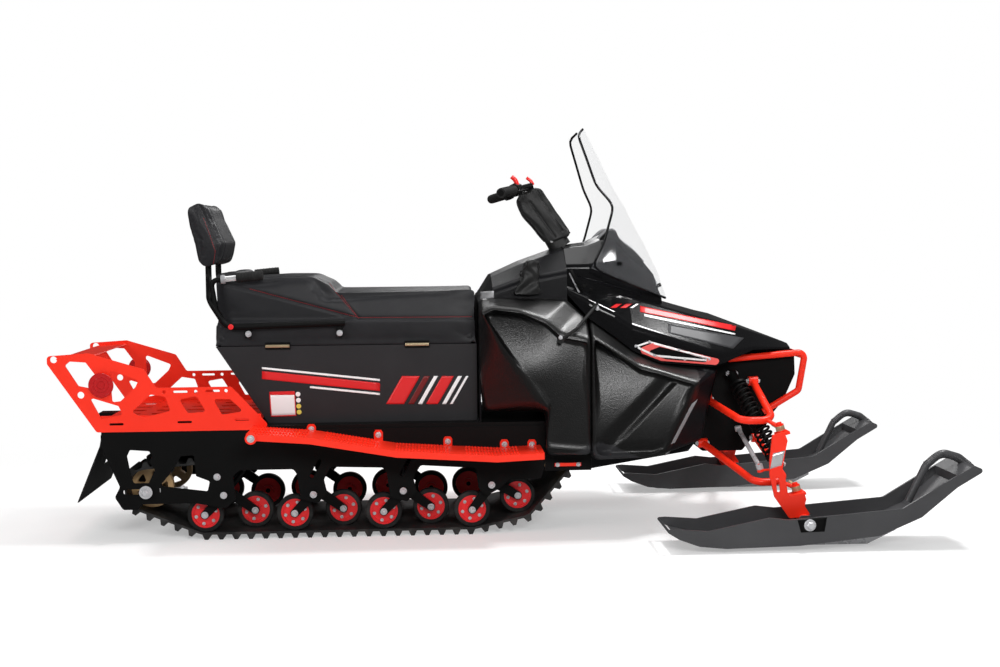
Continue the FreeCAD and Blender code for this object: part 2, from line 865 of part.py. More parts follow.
RACK_ROUND_HOLE_SHARES = [(0.03, 0.925), (0.148, 0.475)]
RACK_SLOT_SHARES = [(0.306, 0.10), (0.618, 0.115), (0.882, 0.135), (0.602, 0.50), (0.75, 0.505)]
RACK_SLOT_LENGTH_SHARE = 0.055
RACK_PIN_HOLE_SHARES = [(0.527, 0.50), (0.672, 0.50), (0.811, 0.505)]
RACK_DECK_SLOT_SHARES = [0.12, 0.30, 0.50, 0.70, 0.88]
RACK_DECK_SLOT_LENGTH_SHARE = 0.065
RACK_DECK_ROW_SHARES = [-0.7, -0.35, 0.0, 0.35, 0.7]
TAIL_LAMP_SHARES = (0.245, 0.60)


def rack_frame():
    x = -size.machine_length / 2
    z = size.plate_top_z + size.seat_gap
    return x, z, size.rack_front_x - x, size.rack_top_z - z


def make_rack():
    x, z, length, height = rack_frame()
    loops = [rounded(spread(RACK_OUTLINE_SHARES, x, z, length, height), size.rack_corner)]
    for table in RACK_OPENING_SHARES:
        loops.append(rounded(spread(table, x, z, length, height), size.rack_corner * 0.6))
    for spot in spread(RACK_ROUND_HOLE_SHARES, x, z, length, height):
        loops.append(ring(spot[0], spot[1], size.rack_corner))
    for spot in spread(RACK_SLOT_SHARES, x, z, length, height):
        loops.append(slot(spot[0], spot[1], RACK_SLOT_LENGTH_SHARE * length, size.rack_corner / 3))
    for spot in spread(RACK_PIN_HOLE_SHARES, x, z, length, height):
        loops.append(ring(spot[0], spot[1], size.rack_corner / 2))
    side = pad("rack_side", "side", loops, "sizes.tunnel_half_width", "sizes.rack_plate_thickness")
    pair("rack_sides", side)

    wide = size.tunnel_half_width - size.fit_gap
    rear, front = size.tunnel_rear_x, size.rack_front_x - size.rack_corner * 2
    floor = size.rack_deck_z
    up, sheet_metal = size.rack_deck_flange, size.rack_sheet
    section = [(-wide, floor), (wide, floor), (wide, floor + up), (wide - sheet_metal, floor + up),
               (wide - sheet_metal, floor + sheet_metal), (sheet_metal - wide, floor + sheet_metal),
               (sheet_metal - wide, floor + up), (-wide, floor + up)]
    tray = pad("rack_tray", "front", [rounded(section, 0)], "sizes.tunnel_rear_x",
               "sizes.rack_front_x - 2 * sizes.rack_corner - sizes.tunnel_rear_x")
    slots = []
    for a in RACK_DECK_SLOT_SHARES:
        for b in RACK_DECK_ROW_SHARES:
            slots.append(slot(rear + a * (front - rear), b * wide,
                              RACK_DECK_SLOT_LENGTH_SHARE * (front - rear),
                              size.rack_slot_radius))
    slots = pad("rack_tray_slots", "top", slots, "sizes.rack_deck_z - sizes.cut_overrun",
                "2 * sizes.cut_overrun + sizes.rack_sheet")
    node("rack_deck", cut("rack_deck", tray, slots))

    top = spread([(0.04, 0.93), (0.187, 0.955), (0.19, 0.945), (0.04, 0.92)], x, z, length, height)
    node("rack_tail_panel", pad("rack_tail_panel", "side", [rounded(top, 0)],
                                "-sizes.tunnel_half_width + sizes.fit_gap",
                                "2 * (sizes.tunnel_half_width - sizes.fit_gap)"))
    spot = spread([TAIL_LAMP_SHARES], x, z, length, height)[0]
    lamp = pad("tail_lamp", "side", [ring(spot[0], spot[1], size.tail_lamp_radius)],
               "sizes.tunnel_half_width + sizes.rack_plate_thickness", "sizes.tail_lamp_depth")
    pair("tail_lamps", lamp)


def make_hitch():
    half, high = size.hitch_width / 2, size.deck_z
    rear = size.tunnel_rear_x - size.flap_fold_drop
    bar = block("hitch_bar", (rear, -half, high), (rear + size.hitch_length, half,
                                                   high + size.hitch_height))
    hole = rod("hitch_hole", (rear + half, 0, high - half),
               (rear + half, 0, high + size.hitch_height * 2),
               "sizes.hitch_pin_radius")
    node("tow_hitch", cut("tow_hitch", bar, hole))


# Footboards

BOARD_TOP_SHARES = [(0.0, 1.0), (0.21, 0.82), (0.50, 0.25), (0.84, 0.0), (1.0, 0.08)]


def make_footboards():
    x, length = size.board_rear_x, size.board_front_x - size.board_rear_x
    z, height = size.board_front_z, size.board_rear_z - size.board_front_z
    top = spread(BOARD_TOP_SHARES, x, z, length, height)
    sheet_low = [(a, b - size.board_sheet) for a, b in reversed(top)]
    rim_low = [(a, b - size.board_rim) for a, b in reversed(top)]
    deck = pad("board_sheet", "side", [rounded(top + sheet_low, 0)],
               "sizes.tunnel_half_width + sizes.frame_plate_thickness + sizes.fit_gap",
               "sizes.board_outer_y - sizes.tunnel_half_width - sizes.frame_plate_thickness - sizes.fit_gap")
    rim = pad("board_rim", "side", [rounded(top + rim_low, 0)], "sizes.board_outer_y - sizes.board_sheet",
              "sizes.board_sheet")
    pair("footboards", fuse("footboard", [deck, rim]))


# Cargo box under the seat

def make_box():
    low, top, wall = size.deck_z, size.box_top_z, size.box_wall
    rear, foot, front = size.box_rear_x, size.box_rear_foot_x, size.box_front_x
    outline = [(rear, top), (foot, low), (front, low), (front, top)]
    shell = pad("box_shell", "side", [rounded(outline, 0)], "-sizes.box_half_width",
                "2 * sizes.box_half_width")
    slope = (rear - foot) / (top - low)
    lean = wall * math.sqrt(1 + slope * slope)
    over = top + size.cut_overrun
    inner_foot = foot + lean + slope * wall
    inside = [(rear + lean + slope * size.cut_overrun, over), (inner_foot, low + wall),
              (front - wall, low + wall),
              (front - wall, over)]
    hollow = pad("box_hollow", "side", [rounded(inside, 0)], "sizes.box_wall - sizes.box_half_width",
                 "2 * (sizes.box_half_width - sizes.box_wall)")
    node("cargo_box", cut("cargo_box", shell, hollow))


def hinge_line():
    """Y and Z of the lid's hinge axis, on the right-hand side."""
    return -size.box_half_width - size.hinge_offset, size.box_top_z + size.lid_gap / 2


def make_hinges():
    y, z = hinge_line()
    third = size.hinge_length / 3
    face = -size.box_half_width
    fixed, moving = [], []
    for tag, x in (("rear", size.hinge_rear_x), ("front", size.hinge_front_x)):
        name = "hinge_%s_" % tag
        bore = rod(name + "bore", (x - 2 * third, y, z), (x + 2 * third, y, z),
                   "sizes.hinge_pin_radius + sizes.fit_gap")
        leaf = block(name + "leaf", (x - third * 1.5, face - size.hinge_leaf, z - size.hinge_leaf_height),
                     (x + third * 1.5, face, z - size.hinge_knuckle_radius - size.fit_gap * 5))
        bridge = block(name + "bridge", (x - third / 2 + size.fit_gap, y,
                                         z - size.hinge_knuckle_radius - size.hinge_leaf),
                       (x + third / 2 - size.fit_gap, face, z - size.hinge_knuckle_radius / 2))
        barrel = rod(name + "barrel", (x - third / 2 + size.fit_gap, y, z),
                     (x + third / 2 - size.fit_gap, y, z),
                     "sizes.hinge_knuckle_radius")
        pin = rod(name + "pin", (x - third * 1.5, y, z), (x + third * 1.5, y, z),
                  "sizes.hinge_pin_radius")
        fixed.append(fuse(name + "fixed", [leaf, bridge, barrel, pin]))
        lid_z = z + size.lid_gap / 2
        plate = block(name + "plate", (x - third * 1.5, face - size.hinge_leaf,
                                       z + size.hinge_knuckle_radius),
                      (x + third * 1.5, face - size.fit_gap, z + size.hinge_leaf_height))
        ears = []
        for side in (-1, 1):
            low_x, high_x = sorted((x + side * third / 2, x + side * third * 1.5))
            ears.append(rod(name + "ear_%d" % (side + 1), (low_x, y, z), (high_x, y, z),
                            "sizes.hinge_knuckle_radius"))
            ears.append(block(name + "web_%d" % (side + 1),
                              (low_x, y, lid_z + size.hinge_knuckle_radius / 3),
                              (high_x, face - size.fit_gap,
                               z + size.hinge_knuckle_radius + size.hinge_leaf)))
        moving.append(cut(name + "moving", fuse(name + "lid_half", [plate] + ears), bore))
    node("box_hinges", group("box_hinges", fixed))
    node("lid_hinges", group("lid_hinges", moving))


# Seat

CUSHION_SHARES = [(0.0, 0.0), (0.0, 0.96), (0.03, 1.0), (0.082, 1.0), (0.12, 0.88), (0.25, 0.91),
                  (0.375, 0.905), (0.435, 0.76), (0.465, 0.60), (1.0, 0.595), (1.0, 0.0)]


def make_seat():
    low = size.box_top_z + size.lid_gap
    high = low + size.seat_base_height
    rear, front = size.seat_rear_x, size.seat_front_x
    wall = size.seat_base_wall
    wide = size.box_half_width
    section = [(-wide, low), (-wide, high), (wide, high), (wide, low), (wide - wall, low),
               (wide - wall, high - wall), (wall - wide, high - wall), (wall - wide, low)]
    shell = pad("seat_base_shell", "front", [rounded(section, 0)], "sizes.seat_rear_x",
                "sizes.seat_front_x - sizes.seat_rear_x")
    ends = [block("seat_base_rear", (rear, -wide, low), (rear + wall, wide, high)),
            block("seat_base_front", (front - wall, -wide, low), (front, wide, high))]
    node("seat_base", fuse("seat_base", [shell] + ends))
    base = high + size.fit_gap
    outline = spread(CUSHION_SHARES, rear, base, front - rear, size.seat_top_z - base)
    cushion = pad("seat_block", "side", [rounded(outline, size.seat_corner / 2)],
                  "-sizes.seat_half_width",
                  "2 * sizes.seat_half_width")
    node("seat_cushion", cushion)


BACKREST_SHARES = [(0.0, 0.88), (0.04, 0.92), (0.35, 1.0), (0.54, 0.95), (0.67, 0.75), (1.0, 0.35),
                   (0.85, 0.06), (0.50, 0.0), (0.33, 0.05), (0.07, 0.60)]


def make_backrest():
    outline = spread(BACKREST_SHARES, size.backrest_rear_x, size.backrest_low_z, size.backrest_depth,
                     size.backrest_top_z - size.backrest_low_z)
    pad_body = pad("backrest_block", "side", [rounded(outline, size.seat_corner)],
                   "-sizes.backrest_half_width",
                   "2 * sizes.backrest_half_width")
    x = size.backrest_rear_x + size.backrest_depth * 0.5
    rail_z = size.rest_rail_z
    post_top = size.backrest_low_z + size.rest_bend
    post = (x, -size.rest_post_y)
    spots = [
        (size.rest_rail_front_x, -size.rest_tube_y, rail_z + size.rest_tube_radius / 2),
        (size.seat_rear_x + size.rest_bend, -size.rest_tube_y, rail_z - size.rest_tube_radius / 2),
        (x + size.rest_bend / 2, -size.rest_tube_y, rail_z + size.rest_bend * 2),
        (x, -size.rest_post_y, size.backrest_low_z - size.rest_bend),
        (post[0], post[1], post_top),
    ]
    tube = bent_tube("rest_tube", spots, "sizes.rest_tube_radius", size.rest_bend)
    hole = rod("rest_post_hole", (post[0], post[1], post_top - size.rest_bend * 2),
               (post[0], post[1], post_top + size.seat_gap), "sizes.rest_tube_radius + sizes.seat_gap")
    node("backrest_pad", cut("backrest_pad", pad_body, group("rest_holes",
                                                             [hole, mirror("rest_hole_left", hole)])))
    lugs = []
    base_face = size.box_half_width
    for i, share in enumerate((0.28, 0.98)):
        lug_x = size.seat_rear_x + share * (size.rest_rail_front_x - size.seat_rear_x) - size.rest_tube_radius
        lugs.append(block("rest_lug_%d" % i, (lug_x - size.rest_tube_radius, -size.rest_tube_y,
                                              rail_z - size.rest_bend),
                          (lug_x + size.rest_tube_radius, -base_face - size.fit_gap, rail_z)))
    grab_z = size.seat_rider_z + size.grab_radius * 3
    low_end, high_end = Vector(*spots[1]), Vector(*spots[2])
    bar_root = low_end + (high_end - low_end) * 0.6
    turn = Vector(bar_root.x - size.grab_radius, bar_root.y, grab_z)
    tip = Vector(turn.x + size.rest_bend * 2 + size.grab_length, turn.y, grab_z + size.grab_radius)
    bar = bent_tube("grab_bar", [tuple(bar_root), tuple(turn), tuple(tip)], "sizes.grab_bar_radius",
                    size.rest_bend / 2)
    half = fuse("rest_half", [tube, bar] + lugs)
    pair("backrest_frame", half)
    along = (tip - turn).normalize()
    grip_end = tip - along * size.grab_length
    grip = rod("grab_grip", grip_end, tip, "sizes.grab_radius")
    bore = rod("grab_bore", grip_end - along * size.cut_overrun, tip + along * size.cut_overrun,
               "sizes.grab_bar_radius + sizes.fit_gap")
    pair("grab_handles", cut("grab_handle", grip, bore))


# Bulkhead, belly pan, engine and bumper

BULKHEAD_SHARES = [(0.0, 0.10), (0.0, 0.62), (0.10, 1.0), (0.99, 1.0), (1.0, 0.75), (0.89, 0.49),
                   (0.50, 0.0), (0.12, 0.0)]


def make_bulkhead():
    x, z = size.bulkhead_rear_x, size.bulkhead_low_z
    length, height = size.bulkhead_front_x - x, size.bulkhead_top_z - z
    outline = spread(BULKHEAD_SHARES, x, z, length, height)
    outer = pad("bulkhead_outer", "side", [rounded(outline, size.plate_corner)],
                "-sizes.bulkhead_half_width",
                "2 * sizes.bulkhead_half_width")
    mid_x, mid_z = x + length / 2, z + height / 2
    wall_x, wall_z = 1 - 2 * size.bulkhead_wall / length, 1 - 2 * size.bulkhead_wall / height
    inside = [(mid_x + (a - mid_x) * wall_x, mid_z + (b - mid_z) * wall_z) for a, b in outline]
    inner = pad("bulkhead_inner", "side", [rounded(inside, size.plate_corner)],
                "sizes.bulkhead_wall - sizes.bulkhead_half_width",
                "2 * (sizes.bulkhead_half_width - sizes.bulkhead_wall)")
    node("bulkhead", cut("bulkhead", outer, inner))


def engine_low():
    """Height at which the engine rests on the belly pan's sloping floor."""
    wall = size.belly_wall
    rear = size.tunnel_front_x + size.seat_gap + wall
    front = size.belly_front_x - size.seat_gap - size.belly_rise / 3 - wall
    low, high = size.belly_rear_z + wall * 1.3, size.belly_front_z + wall
    along = (size.engine_rear_x + size.engine_length - rear) / (front - rear)
    return low + along * (high - low) + size.seat_gap


def make_belly():
    x, front = size.tunnel_front_x + size.seat_gap, size.belly_front_x - size.seat_gap
    wide, wall = size.tunnel_half_width - size.seat_gap, size.belly_wall
    outline = [(x, size.belly_rear_z), (front - size.belly_rise / 3, size.belly_front_z),
               (size.bulkhead_rear_x - size.seat_gap, size.belly_front_z + size.belly_rise / 3),
               (size.bulkhead_rear_x - size.seat_gap, size.belly_front_z + size.belly_rise),
               (x, size.belly_rear_z + size.belly_rise)]
    outer = pad("belly_outer", "side", [rounded(outline, 0)], "sizes.seat_gap - sizes.tunnel_half_width",
                "2 * (sizes.tunnel_half_width - sizes.seat_gap)")
    top = size.belly_front_z + size.belly_rise + size.cut_overrun
    inside = [(x + wall, size.belly_rear_z + wall * 1.3),
              (front - size.belly_rise / 3 - wall, size.belly_front_z + wall),
              (size.bulkhead_rear_x - size.seat_gap - wall,
               size.belly_front_z + size.belly_rise / 3 + wall),
              (size.bulkhead_rear_x - size.seat_gap - wall, top), (x + wall, top)]
    inner = pad("belly_inner", "side", [rounded(inside, 0)],
                "sizes.seat_gap - sizes.tunnel_half_width + sizes.belly_wall",
                "2 * (sizes.tunnel_half_width - sizes.seat_gap - sizes.belly_wall)")
    node("belly_pan", cut("belly_pan", outer, inner))
    half = size.engine_width / 2
    low = engine_low()
    node("engine_block", block("engine_block", (size.engine_rear_x, -half, low),
                               (size.engine_rear_x + size.engine_length, half, low + size.engine_height)))


def make_bumper():
    y = size.bumper_y
    low_y = size.bulkhead_half_width + size.bumper_radius + size.seat_gap
    spots = [(size.bumper_rear_x, -y, size.bumper_rear_z), (size.bumper_front_x, -y, size.bumper_top_z),
             (size.bumper_knee_x, -y, size.bumper_knee_z), (size.bumper_low_x, -low_y, size.bumper_low_z)]
    side = bent_tube("bumper_side", spots, "sizes.bumper_radius", size.bumper_bend)
    bar_x, bar_z = size.bumper_front_x - size.bumper_radius, size.bumper_top_z - size.bumper_radius
    cross = rod("bumper_top_bar", (bar_x, -y, bar_z), (bar_x, y, bar_z), "sizes.bumper_radius * 0.95")
    node("bumper", fuse("bumper", [side, mirror("bumper_left", side), cross]))


# Front suspension

def make_arms():
    for name, inner_y, rear, front, outer_y, outer_rear, outer_front, outer_z in (
        ("upper_arm", size.upper_arm_inner_y, (size.upper_arm_rear_x, size.upper_arm_rear_z),
         (size.upper_arm_front_x, size.upper_arm_front_z), size.upper_arm_outer_y,
         size.upper_arm_outer_rear_x, size.upper_arm_outer_front_x, size.upper_arm_outer_z),
        ("lower_arm", size.lower_arm_inner_y, (size.lower_arm_rear_x, size.lower_arm_rear_z),
         (size.lower_arm_front_x, size.lower_arm_front_z), size.lower_arm_outer_y,
         size.lower_arm_outer_rear_x, size.lower_arm_outer_front_x, size.lower_arm_outer_z),
    ):
        spots = [(rear[0], -inner_y, rear[1]), (outer_rear, -outer_y, outer_z),
                 (outer_front, -outer_y, outer_z), (front[0], -inner_y, front[1])]
        bow = bent_tube(name + "_bow", spots, "sizes.arm_radius", size.arm_bend)
        sleeves = []
        for i, (x, z) in enumerate((rear, front)):
            sleeves.append(rod("%s_sleeve_%d" % (name, i), (x - size.mount_length / 2, -inner_y, z),
                               (x + size.mount_length / 2, -inner_y, z), "sizes.mount_radius"))
            sleeves.append(rod("%s_bolt_%d" % (name, i), (x, -inner_y, z),
                               (x, -size.bulkhead_half_width - size.seat_gap, z),
                               "sizes.eye_stem_radius"))
        up, low, top = king_axis()
        eye = low if name == "lower_arm" else top
        half = up * (size.eye_height / 2)
        ring_body = rod(name + "_eye", eye - half, eye + half, "sizes.eye_radius")
        toward = Vector(outer_front - size.arm_bend / 2, -outer_y, outer_z)
        stem = rod(name + "_stem", eye, toward, "sizes.eye_stem_radius")
        bore = rod(name + "_bore", eye - half * 3, eye + half * 3,
                   "sizes.king_pin_radius + sizes.king_pin_clearance")
        whole = cut(name, fuse(name + "_joined", [bow, ring_body, stem] + sleeves), bore)
        pair(name + "s", whole)


# Where the body ends and the spring's seats lie along a shock absorber.
SHOCK_BODY_SHARE = 0.62
SHOCK_TOP_SEAT_SHARE = 0.12
SHOCK_LOW_SEAT_SHARE = 0.90


def make_shocks():
    top = Vector(size.shock_top_x, -size.shock_top_y, size.shock_top_z)
    low = Vector(size.shock_low_x, -size.shock_low_y, size.shock_low_z)
    along = low - top
    length = along.Length
    along.normalize()
    half = size.shock_eye_width / 2
    pieces = [
        rod("shock_body", top, top + along * length * SHOCK_BODY_SHARE, "sizes.shock_body_radius"),
        rod("shock_rod", top, low, "sizes.shock_rod_radius"),
    ]
    for tag, spot in (("top", top), ("low", low)):
        pieces.append(rod("shock_eye_" + tag, (spot.x - half, spot.y, spot.z),
                          (spot.x + half, spot.y, spot.z),
                          "sizes.shock_eye_radius"))
    cap, brim = length * SHOCK_LOW_SEAT_SHARE, length * SHOCK_TOP_SEAT_SHARE
    pieces.append(rod("shock_seat_low", top + along * cap, top + along * (cap + size.spring_wire * 2),
                      "sizes.spring_radius + sizes.spring_wire"))
    pieces.append(rod("shock_seat_top", top + along * brim,
                      top + along * (brim + size.spring_wire * 2),
                      "sizes.spring_radius + sizes.spring_wire"))
    pieces.append(rod("shock_pin_top", top, (top.x, -size.bulkhead_half_width - size.seat_gap, top.z),
                      "sizes.shock_rod_radius"))
    pair("shocks", fuse("shock", pieces))
    low_seat = cap - size.spring_wire
    top_seat = brim + size.spring_wire * 3
    coil = doc.addObject("Part::Helix", "spring_path")
    coil.setExpression("Radius", "sizes.spring_radius")
    coil.setExpression("Pitch", "sizes.spring_pitch")
    coil.Height = low_seat - top_seat - 2 * size.seat_gap
    wire = doc.addObject("Part::Circle", "spring_round")
    wire.setExpression("Radius", "sizes.spring_wire")
    wire.Placement = FreeCAD.Placement(Vector(size.spring_radius, 0, 0),
                                       FreeCAD.Rotation(Vector(1, 0, 0), 90))
    spring = doc.addObject("Part::Sweep", "spring_coil")
    spring.Sections = [wire]
    spring.Spine = (coil, ["Edge1"])
    spring.Solid = True
    spring.Frenet = True
    spring.Placement = FreeCAD.Placement(top + along * (top_seat + size.seat_gap),
                                         FreeCAD.Rotation(Vector(0, 0, 1), along))
    pair("shock_springs", spring)


# Spindles and tie rods

SPINDLE_SHARES = [(0.06, 0.965), (0.34, 1.0), (0.42, 0.90), (0.37, 0.78), (0.30, 0.56), (0.38, 0.45),
                  (0.45, 0.26), (0.83, 0.29), (0.88, 0.22), (0.84, 0.14), (1.0, 0.02), (0.48, 0.0),
                  (0.12, 0.25), (0.0, 0.51), (0.0, 0.69)]
SPINDLE_SLOT_SHARES = [[(0.14, 0.48), (0.22, 0.47), (0.26, 0.30), (0.18, 0.31)],
                       [(0.55, 0.19), (0.67, 0.19), (0.76, 0.07), (0.62, 0.06)]]


def make_spindle():
    x, z = size.spindle_rear_x, size.spindle_low_z
    length, height = size.spindle_front_x - x, size.spindle_top_z - z
    loops = [rounded(spread(SPINDLE_SHARES, x, z, length, height), size.spindle_corner)]
    for table in SPINDLE_SLOT_SHARES[:1]:
        loops.append(rounded(spread(table, x, z, length, height), size.spindle_corner / 2))
    web = pad("spindle_web", "side", loops, "sizes.spindle_y", "sizes.spindle_thickness")
    up, low, top = king_axis()
    forward = Vector(up.z, 0, -up.x)
    turn = FreeCAD.Rotation(forward, Vector(0, 1, 0), up, "ZXY")
    tabs = []
    gap = size.eye_height / 2 + size.seat_gap
    for tag, eye, reach in (("top", top, size.eye_radius * 1.4), ("low", low, size.eye_radius * 1.4)):
        deep = size.spindle_y + size.spindle_thickness / 2 - size.king_pin_y + size.eye_radius
        back = reach + (size.eye_radius * 1.6 if tag == "low" else 0)
        tab = doc.addObject("Part::Box", "spindle_tab_" + tag)
        tab.Length, tab.Width, tab.Height = back + reach, deep, size.spindle_tab_thickness
        corner = eye - up * (gap + size.spindle_tab_thickness) - forward * back
        corner = Vector(corner.x, -size.spindle_y - size.spindle_thickness / 2, corner.z)
        tab.Placement = FreeCAD.Placement(corner, turn)
        tabs.append(tab)
        pin = rod("king_pin_" + tag, eye - up * (gap + size.spindle_tab_thickness / 2),
                  eye + up * (gap + size.king_pin_radius),
                  "sizes.king_pin_radius")
        nut = rod("king_nut_" + tag, eye + up * gap, eye + up * (gap + size.king_pin_radius * 1.2),
                  "1.6 * sizes.king_pin_radius")
        tabs += [pin, nut]
    foot = size.ski_boss_width / 2
    stance = size.ski_stance / 2
    boss = rod("spindle_boss", (size.ski_pivot_x, -stance - foot, size.ski_pivot_z),
               (size.ski_pivot_x, foot - stance, size.ski_pivot_z), "sizes.ski_boss_radius")
    bore = rod("spindle_bore", (size.ski_pivot_x, -stance - 2 * foot, size.ski_pivot_z),
               (size.ski_pivot_x, 2 * foot - stance, size.ski_pivot_z),
               "sizes.ski_pin_radius + sizes.fit_gap")
    eye = Vector(size.steer_arm_x, -size.steer_arm_y, size.steer_arm_z)
    thick = size.spindle_tab_thickness
    eye_low = size.tie_rod_radius + size.seat_gap
    seat = eye - up * (eye_low + thick)
    web_y = size.spindle_y + size.spindle_thickness / 4 - size.steer_arm_y
    middle = seat + up * (thick / 2)
    arm = [
        rod("steer_seat", seat, eye - up * eye_low, "sizes.tie_eye_radius"),
        rod("steer_bar", middle, middle + forward * web_y - Vector(0, web_y, 0),
            "sizes.steer_bar_radius"),
        rod("steer_pin", seat + up * (thick / 4), eye + up * eye_low, "sizes.tie_pin_radius"),
    ]
    plate = fuse("spindle_plate", [web, boss])
    whole = cut("spindle_right", fuse("spindle_joined", [plate, fuse("steer_arm", arm)] + tabs), bore)
    node("spindle_right", whole)
    node("spindle_left", mirror("spindle_left", whole))


def make_tie_rods():
    outer = Vector(size.steer_arm_x, -size.steer_arm_y, size.steer_arm_z)
    inner = Vector(size.tie_rod_inner_x, -size.tie_rod_inner_y, size.tie_rod_inner_z)
    half = king_axis()[0] * size.tie_rod_radius
    eyes = []
    for tag, spot in (("outer", outer), ("inner", inner)):
        eyes.append(rod("tie_eye_" + tag, spot - half, spot + half, "sizes.tie_eye_radius"))
    bore = rod("tie_bore", outer - half * 3, outer + half * 3,
               "sizes.tie_pin_radius + sizes.king_pin_clearance")
    whole = cut("tie_rod_right", fuse("tie_rod_joined", [rod("tie_bar", outer, inner,
                                                             "sizes.tie_rod_radius * 0.9")] + eyes),
                bore)
    node("tie_rod_right", whole)
    node("tie_rod_left", mirror("tie_rod_left", whole))


# Skis

SKI_TOP_SHARES = [(0.0, 0.24), (0.036, 0.25), (0.138, 0.22), (0.326, 0.37), (0.388, 0.34), (0.74, 0.45),
                  (0.854, 0.72), (0.96, 0.96), (1.0, 0.91)]
SKI_LOW_SHARES = [(0.91, 0.70), (0.80, 0.34), (0.67, 0.12), (0.42, 0.018), (0.193, 0.0), (0.11, 0.033),
                  (0.048, 0.123)]
LOOP_SHARES = [(0.79, 0.46), (0.845, 0.91), (0.895, 1.075), (0.95, 1.01), (0.9925, 0.87)]


def ski_frame():
    """Rear end, lowest Z, length and height of a ski without its runner."""
    low = size.ski_runner_drop
    front = size.machine_length / 2
    return size.ski_tail_x, low, front - size.ski_tail_x, size.ski_top_z - low


def make_skis():
    x, z, length, height = ski_frame()
    stance, half = size.ski_stance / 2, size.ski_width / 2
    top = spread(SKI_TOP_SHARES, x, z, length, height)
    low = spread(SKI_LOW_SHARES, x, z, length, height)
    hull = pad("ski_hull", "side", [rounded(top + low, size.ski_wall * 3)],
               "(sizes.ski_stance - sizes.ski_width) / 2",
               "sizes.ski_width")
    floor = [(a, b + size.ski_floor) for a, b in low]
    inset = size.ski_wall * 2
    trough_points = [(floor[0][0], floor[0][1] + height)] + floor[:-1] + \
        [(x + inset, floor[-1][1]), (x + inset, z + height)]
    trough = pad("ski_trough", "side", [rounded(trough_points, 0)],
                 "(sizes.ski_stance - sizes.ski_width) / 2 + sizes.ski_wall",
                 "sizes.ski_width - 2 * sizes.ski_wall")
    shell = cut("ski_shell", hull, trough)
    pivot = (size.ski_pivot_x, size.ski_pivot_z)
    cheeks = []
    reach = size.ski_boss_width / 2 + size.seat_gap
    cheek_low = z + size.ski_floor / 2
    span = size.ski_cheek_length / 2
    rise = size.ski_boss_radius
    outline = [(pivot[0] - span, cheek_low), (pivot[0] + span, cheek_low),
               (pivot[0] + rise, pivot[1] + rise),
               (pivot[0] - rise, pivot[1] + rise)]
    for tag, start in (("inner",
                        "sizes.ski_stance / 2 - sizes.ski_boss_width / 2 - sizes.seat_gap - sizes.ski_cheek_thickness"),
                       ("outer", "sizes.ski_stance / 2 + sizes.ski_boss_width / 2 + sizes.seat_gap")):
        cheeks.append(pad("ski_cheek_" + tag, "side", [rounded(outline, size.ski_boss_radius / 2)], start,
                          "sizes.ski_cheek_thickness"))
    wide = reach + size.ski_cheek_thickness * 2
    bolt = rod("ski_bolt", (pivot[0], -stance - wide, pivot[1]), (pivot[0], wide - stance, pivot[1]),
               "sizes.ski_pin_radius")
    whole = fuse("ski_right", [shell, bolt] + cheeks)
    node("ski_right", whole)
    node("ski_left", mirror("ski_left", whole))
    run = spread([(0.75, 0.17), (0.66, 0.0), (0.16, 0.0), (0.10, 0.06)], x, 0.0, length, height)
    keel_top = [(a, b + size.ski_runner_drop + size.ski_floor) for a, b in reversed(run)]
    keel = pad("ski_keel", "side", [rounded(run + keel_top, 0)],
               "sizes.ski_stance / 2 - sizes.ski_runner_width / 2",
               "sizes.ski_runner_width")
    runner = cut("ski_runner_right", keel, hull)
    node("ski_runner_right", runner)
    node("ski_runner_left", mirror("ski_runner_left", runner))
    route = [(a, -stance, b) for a, b in spread(LOOP_SHARES, x, z, length, height)]
    bow = bent_tube("ski_loop_bow", route, "sizes.loop_radius", size.loop_bend)
    handle = cut("ski_loop_right", bow, shell)
    node("ski_loop_right", handle)
    node("ski_loop_left", mirror("ski_loop_left", handle))


# Steering

def post_line():
    """Top and bottom of the steering post and its downward unit vector."""
    top = Vector(size.post_top_x, 0, size.console_top_z + size.post_rise)
    low = Vector(size.post_low_x, 0, size.post_low_z)
    return top, low, (low - top).normalize()


# Side outline of the riser cover, in shares of the post's run back and up.
RISER_SHARES = [(-0.05, 0.035), (0.24, 0.04), (0.385, -0.10), (0.80, -0.445), (0.75, -0.505),
                (0.36, -0.585),
                (-0.13, -0.25), (-0.22, -0.10)]


